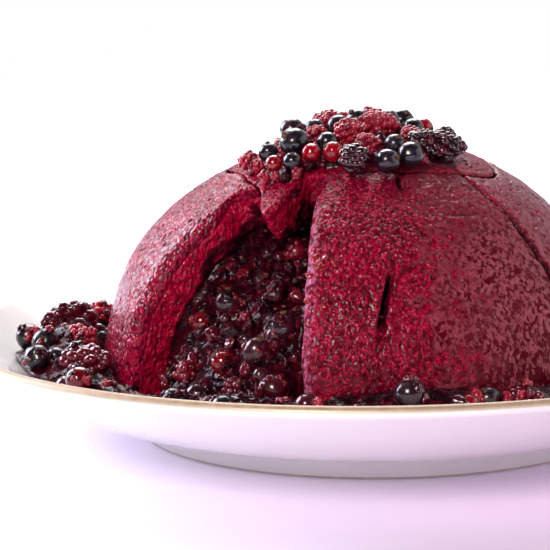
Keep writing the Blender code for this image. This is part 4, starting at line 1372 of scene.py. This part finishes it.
def moatSpots():
    draw = random.Random(moat["seed"])
    listed = list(plateFruit)
    azimuth, end = moat["back"]
    while azimuth < end:
        distance = moat["start"] + moatWidth(azimuth) * draw.uniform(0.42, 0.8)
        listed.append((None, azimuth, distance, draw.uniform(0.0038, 0.0056), 1.0))
        azimuth += draw.uniform(18.0, 26.0)
    for azimuth in moat["front"]:
        distance = moat["start"] + moat["width"] * draw.uniform(0.45, 0.75)
        listed.append(("wrinkled", azimuth, distance, draw.uniform(0.0036, 0.0050), 1.0))
    pick = random.Random(5)
    spots = {kind: [] for kind in kinds}
    for kind, azimuth, distance, radius, stretch in listed:
        half = radius * stretch
        distance = min(distance, moat["start"] + moat["berryLimit"] * moatWidth(azimuth))
        distance = max(distance, moat["start"] + half)
        spot = around(azimuth, distance, 0.0)
        share = (distance - moat["start"]) / moatWidth(azimuth)
        floor = plateUnder(around(azimuth, distance + half, 0.0)) + 0.0005
        spot.z = max(plateUnder(spot) + moatTop(azimuth, share) + moat["stand"] * radius, floor + radius)
        lie = Vector((draw.uniform(-1.0, 1.0), draw.uniform(-1.0, 1.0), draw.uniform(-0.2, 0.2))).normalized()
        kind = kind or pick.choice(("black", "red", "raspberry", "bramble", "black", "wrinkled"))
        spots[kind].append((spot, lie, radius, stretch))
        for _ in range(moat["smears"][abs(azimuth) >= moat["smearSide"]]):
            way = Vector((pick.uniform(-1.0, 1.0), pick.uniform(-1.0, 0.3), pick.uniform(-0.2, 1.0))).normalized()
            size = radius * pick.uniform(0.25, 0.45)
            smear = (spot + way * (radius - size * 0.2), way, size, 0.7)
            spots[pick.choice(("pulp", "skin", "scrap"))].append(smear)
    for number in range(moat["scraps"]):
        azimuth = pick.uniform(-180.0, 180.0) if number % 3 else moat["heapAzimuth"] + pick.gauss(0.0, 24.0)
        share = pick.uniform(0.08, 0.86)
        kind = pick.choice(("pulp", "scrap", "scrap", "skin", "red", "black", "wrinkled", "pulp"))
        size = moat["scrapSizes"][kind] * pick.uniform(0.75, 1.15)
        spot = around(azimuth, moat["inner"] + share * moatWidth(azimuth), 0.0)
        base = plateUnder(spot)
        spot.z = max(base + moatTop(azimuth, share) + size * pick.uniform(-0.25, 0.25), base + size * 0.8)
        spots[kind].append((spot, anyWay(pick).normalized(), size, 1.0))
    for _ in range(moat["seeds"]):
        azimuth = pick.uniform(-180.0, 180.0)
        share = pick.uniform(0.1, 0.95)
        spot = around(azimuth, moat["inner"] + share * moatWidth(azimuth), 0.0)
        spot.z = plateUnder(spot) + moatTop(azimuth, share) + 0.0012
        spots["seed"].append((spot, anyWay(pick).normalized(), pick.uniform(*moat["seedSizes"]), 1.0))
    return spots


makeMoatCore()
scatter("plate", moatSpots())
print("plate fruit made")


# Heap on the top slice: each loose berry stands for its own node

toppingShape = {
    # radius, half length of the straight part, heading of the long axis
    "raspberry": (
        (0.0030, 0.0010, 60.0), (0.0038, 0.0006, 80.0), (0.0044, 0.0012, 35.0), (0.0045, 0.0030, 8.0),
        (0.0038, 0.0005, 20.0), (0.0044, 0.0015, 150.0), (0.0043, 0.0010, 30.0), (0.0034, 0.0006, 10.0),
    ),
    "bramble": ((0.0047, 0.0008, 95.0), (0.0045, 0.0050, 12.0), (0.0036, 0.0016, 65.0)),
    # radius
    "blackcurrant": (
        0.0033, 0.0049, 0.0031, 0.0040, 0.0037, 0.0042, 0.0038,
        0.0040, 0.0036, 0.0042, 0.0035, 0.0043, 0.0042, 0.0042,
    ),
    "redcurrant": (0.0029, 0.0032, 0.0034, 0.0035, 0.0036, 0.0037),
}
flowerLean = ((-1.0, 1.0), (-1.0, 0.3), (-0.3, 1.0))  # range of each axis of a currant's dried flower
bed = {
    "half": 0.042,
    "steps": 170,
    "back": 0.002,
    "depth": 0.0012,
    "height": 0.0016,
    "rough": 0.0007,
    "sunk": 0.0035,  # where nothing covers the bread
    "scraps": 150,
    "scrapSizes": {"scrap": 0.0023, "pulp": 0.0024, "skin": 0.0026, "seed": 0.0007},
}


def breadTopUnder(x, y):
    azimuth = math.degrees(math.atan2(x, -y))
    return domeHeight(math.hypot(x, y) / squeeze(azimuth))


def nodeMiddle(node):
    low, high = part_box(node)
    return (low + high) / 2.0


def makeTopping():
    draw = random.Random(12)
    for kind, used in (("raspberry", rasp), ("bramble", dark), ("blackcurrant", black), ("redcurrant", red)):
        for number, shape in enumerate(toppingShape[kind], 1):
            node = f"{kind}_{number:02d}"
            middle = nodeMiddle(node)
            if used in (rasp, dark):
                radius, half, heading = shape
                angle = math.radians(heading)
                axis = Vector((math.cos(angle), math.sin(angle), 0.0))
                x, y = middle.x - dome["x"], middle.y
                axis.z = (breadTopUnder(x + axis.x * 0.001, y + axis.y * 0.001) - breadTopUnder(x, y)) / 0.001
                hollow = kind == "raspberry"
                bm = clusterMesh(radius, half, berryShape["drupeletSteps"], draw, 0.29 if hollow else 0.30, hollow)
                darkest = 0.7
            else:
                axis = Vector([draw.uniform(low, high) for low, high in flowerLean])
                bm = currantMesh(shape * 0.98, berryShape["currantSteps"], draw)
                darkest = 0.8
            place = Matrix.Translation(middle) @ turnTo(axis.normalized())
            bmesh.ops.transform(bm, verts=bm.verts, matrix=place)
            storeOnVerts(bm, "shade", draw.uniform(0.0, darkest))
            makePiece(f"top{kind.capitalize()}{number:02d}", bm, used, (node,))


def makeToppingPulp():
    # crushed fruit and juice the heap sits in
    nodes = [f"{kind}_{number:02d}" for kind in toppingShape for number in range(1, len(toppingShape[kind]) + 1)]
    boxes = [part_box(node) for node in nodes]
    berries = [((low + high) / 2.0, (high.x - low.x + high.y - low.y) / 4.0) for low, high in boxes]
    bm = bmesh.new()
    bmesh.ops.create_grid(bm, x_segments=bed["steps"], y_segments=bed["steps"], size=bed["half"])
    for vert in bm.verts:
        x, y = vert.co.x, vert.co.y - bed["back"]
        spot = Vector((x + dome["x"], y, breadTopUnder(x, y)))
        near = min(math.hypot(spot.x - centre.x, spot.y - centre.y) - radius for centre, radius in berries)
        azimuth, reach = azimuthOf(spot)
        near += 0.0013 * noise.noise(spot / 0.0045)
        near = max(near, reach / squeeze(azimuth) + 0.0035 - topEdge(azimuth))
        cover = ease((0.0020 - near) / 0.0030)
        rough = noise.noise(spot / 0.0032) + 0.5 * noise.noise(spot / 0.0013)
        spot.z += cover * (bed["height"] + bed["rough"] * rough) - (1.0 - cover) * bed["sunk"]
        vert.co = spot
        vert.tag = cover < 0.02
    bare = [face for face in bm.faces if all(vert.tag for vert in face.verts)]
    bmesh.ops.delete(bm, geom=bare, context="FACES")
    bmesh.ops.solidify(bm, geom=bm.faces[:], thickness=bed["depth"])
    makePiece("toppingPulp", bm, [finishes["pulp"]])
    draw = random.Random(33)
    spots = {kind: [] for kind in ("scrap", "pulp", "seed", "skin")}
    for _ in range(bed["scraps"]):
        centre, radius = draw.choice(berries)
        angle = draw.uniform(0.0, 2.0 * math.pi)
        reach = radius * draw.uniform(0.9, 1.35)
        x, y = centre.x - dome["x"] + reach * math.cos(angle), centre.y + reach * math.sin(angle)
        if math.hypot(x, y) > topEdge(math.degrees(math.atan2(x, -y))) - 0.0015:
            continue
        kind = draw.choice(("scrap", "scrap", "scrap", "pulp", "skin", "seed"))
        size = bed["scrapSizes"][kind] * draw.uniform(0.75, 1.2)
        spot = Vector((x + dome["x"], y, breadTopUnder(x, y) + 0.0012 + size * 0.35))
        spots[kind].append((spot, anyWay(draw).normalized(), size, 1.0))
    scatter("topping", spots, (0.0, 0.8))


makeTopping()
makeToppingPulp()
print("topping made")


# Light, floor and camera

studio = {
    "floorSize": 3.0,
    "floorDrop": 0.0002,
    "floorPaintedGlow": (0.92, 0.82, 0.97, 1.0),
    "worldFront": 0.04,
    "worldBack": 0.6,
    "lights": (
        # name, place, aim, size, watts, color
        ("leftWindow", (-1.05, 0.55, 0.62), (0.0, 0.0, 0.05), (0.8, 0.8), 21.0, (0.85, 0.83, 1.0)),
        ("topSoft", (-0.10, 0.80, 0.95), (0.0, 0.0, 0.04), (0.8, 0.8), 13.0, (1.0, 0.97, 0.97)),
        ("rightWall", (0.95, -0.10, 0.45), (0.0, 0.0, 0.05), (1.2, 0.8), 3.5, (1.0, 0.95, 0.96)),
        ("frontGlint", (-0.42, -1.15, 0.75), (0.0, 0.0, 0.05), (0.4, 0.4), 13.0, (1.0, 0.90, 0.84)),
        ("tableGlow", (0.10, -0.85, 0.03), (0.02, 0.0, 0.012), (0.6, 0.04), 0.5, (1.0, 0.96, 1.0)),
    ),
    "cameraPlace": (0.0, -0.62638, 0.14049),
    "cameraTurn": (-3.1936, 8.2383, -1.2903),  # yaw, pitch down and roll in degrees
    "sensor": 36.0,
    "lens": 36.0 * 1900.0 / 550.0,
}


def makeFloor():
    pale = newFinish("paleFloor", (0.84, 0.72, 0.88), 0.6)
    spot = objectSpot()
    depth = partOf(spot, "Y")
    across = combine("ADD", partOf(spot, "X"), times(cloud(spot, 7.0), 0.05))
    # painted light and shade: bluish white to the left, where the window light falls, and pinker lavender to the
    # right, away from it
    shade = ramp(remap(across, -0.16, 0.16), (0.0, (0.84, 0.84, 0.98)), (1.0, (0.83, 0.65, 0.88)))
    # painted glow: the floor gives off light, brighter behind and fading towards the camera
    glow = times(remap(depth, -0.1, 1.2, 0.22, 1.3), remap(depth, -0.55, -0.14, 0.2, 1.0))
    # painted shadow: the glow is dimmed to the right in front, under the plate
    paintedShadowDimmer = combine("MAXIMUM", remap(across, -0.12, 0.06, 1.0, 0.55), remap(depth, -0.1, 0.2))
    dress(pale, color=shade, glow=times(glow, paintedShadowDimmer))
    pale.node_tree.nodes["Principled BSDF"].inputs["Emission Color"].default_value = studio["floorPaintedGlow"]
    bm = bmesh.new()
    bmesh.ops.create_grid(bm, x_segments=2, y_segments=2, size=studio["floorSize"])
    floor = addObject("floor", meshFrom("floor", bm))
    floor.data.materials.append(pale)
    floor.location.z = -studio["floorDrop"]


def makeWorld():
    # the camera sees white; the pudding is lit by a room that is brighter behind
    world = bpy.data.worlds.new("softRoom")
    bpy.context.scene.world = world
    world.use_nodes = True
    world.node_tree.nodes.clear()
    work["tree"] = world.node_tree
    inputs = {
        "Value": partOf(addNode("TexCoord").outputs["Generated"], "Y"), "From Min": -0.1, "From Max": 0.8,
        "To Min": studio["worldFront"], "To Max": studio["worldBack"],
    }
    fade = addNode("MapRange", None, inputs).outputs["Result"]
    cast = addNode("Background", None, {"Color": (0.95, 0.94, 1.0), "Strength": fade}).outputs[0]
    seen = addNode("Background", None, {"Color": (1.0, 1.0, 1.0), "Strength": 1.0}).outputs[0]
    isSeen = addNode("LightPath").outputs["Is Camera Ray"]
    mix = addNode("MixShader", None, {0: isSeen, 1: cast, 2: seen})
    addNode("OutputWorld", None, {"Surface": mix.outputs[0]})


def makeLights():
    for name, place, aim, size, watts, color in studio["lights"]:
        data = bpy.data.lights.new(name, "AREA")
        data.shape = "RECTANGLE"
        data.size, data.size_y = size
        data.energy = watts
        data.color = color
        lamp = addObject(name, data)
        lamp.location = place
        lamp.rotation_euler = (Vector(aim) - Vector(place)).to_track_quat("-Z", "Y").to_euler()


def makeCamera():
    yaw, pitch, roll = (math.radians(value) for value in studio["cameraTurn"])
    ahead = Vector((math.sin(yaw) * math.cos(pitch), math.cos(yaw) * math.cos(pitch), -math.sin(pitch)))
    right = Vector((math.cos(yaw), -math.sin(yaw), 0.0))
    above = right.cross(ahead)
    across = right * math.cos(roll) + above * math.sin(roll)
    upright = above * math.cos(roll) - right * math.sin(roll)
    data = bpy.data.cameras.new("camera")
    data.sensor_width = studio["sensor"]
    data.lens = studio["lens"]
    data.clip_start = 0.01
    camera = addObject("camera", data)
    turn = Matrix((across, upright, -ahead)).transposed().to_4x4()
    camera.matrix_world = Matrix.Translation(studio["cameraPlace"]) @ turn
    bpy.context.scene.camera = camera


makeFloor()
makeWorld()
makeLights()
makeCamera()
bpy.context.scene.view_settings.view_transform = "Standard"
print("studio set")

for kindMeshes in kinds.values():
    for mesh in kindMeshes:
        bpy.data.meshes.remove(mesh)
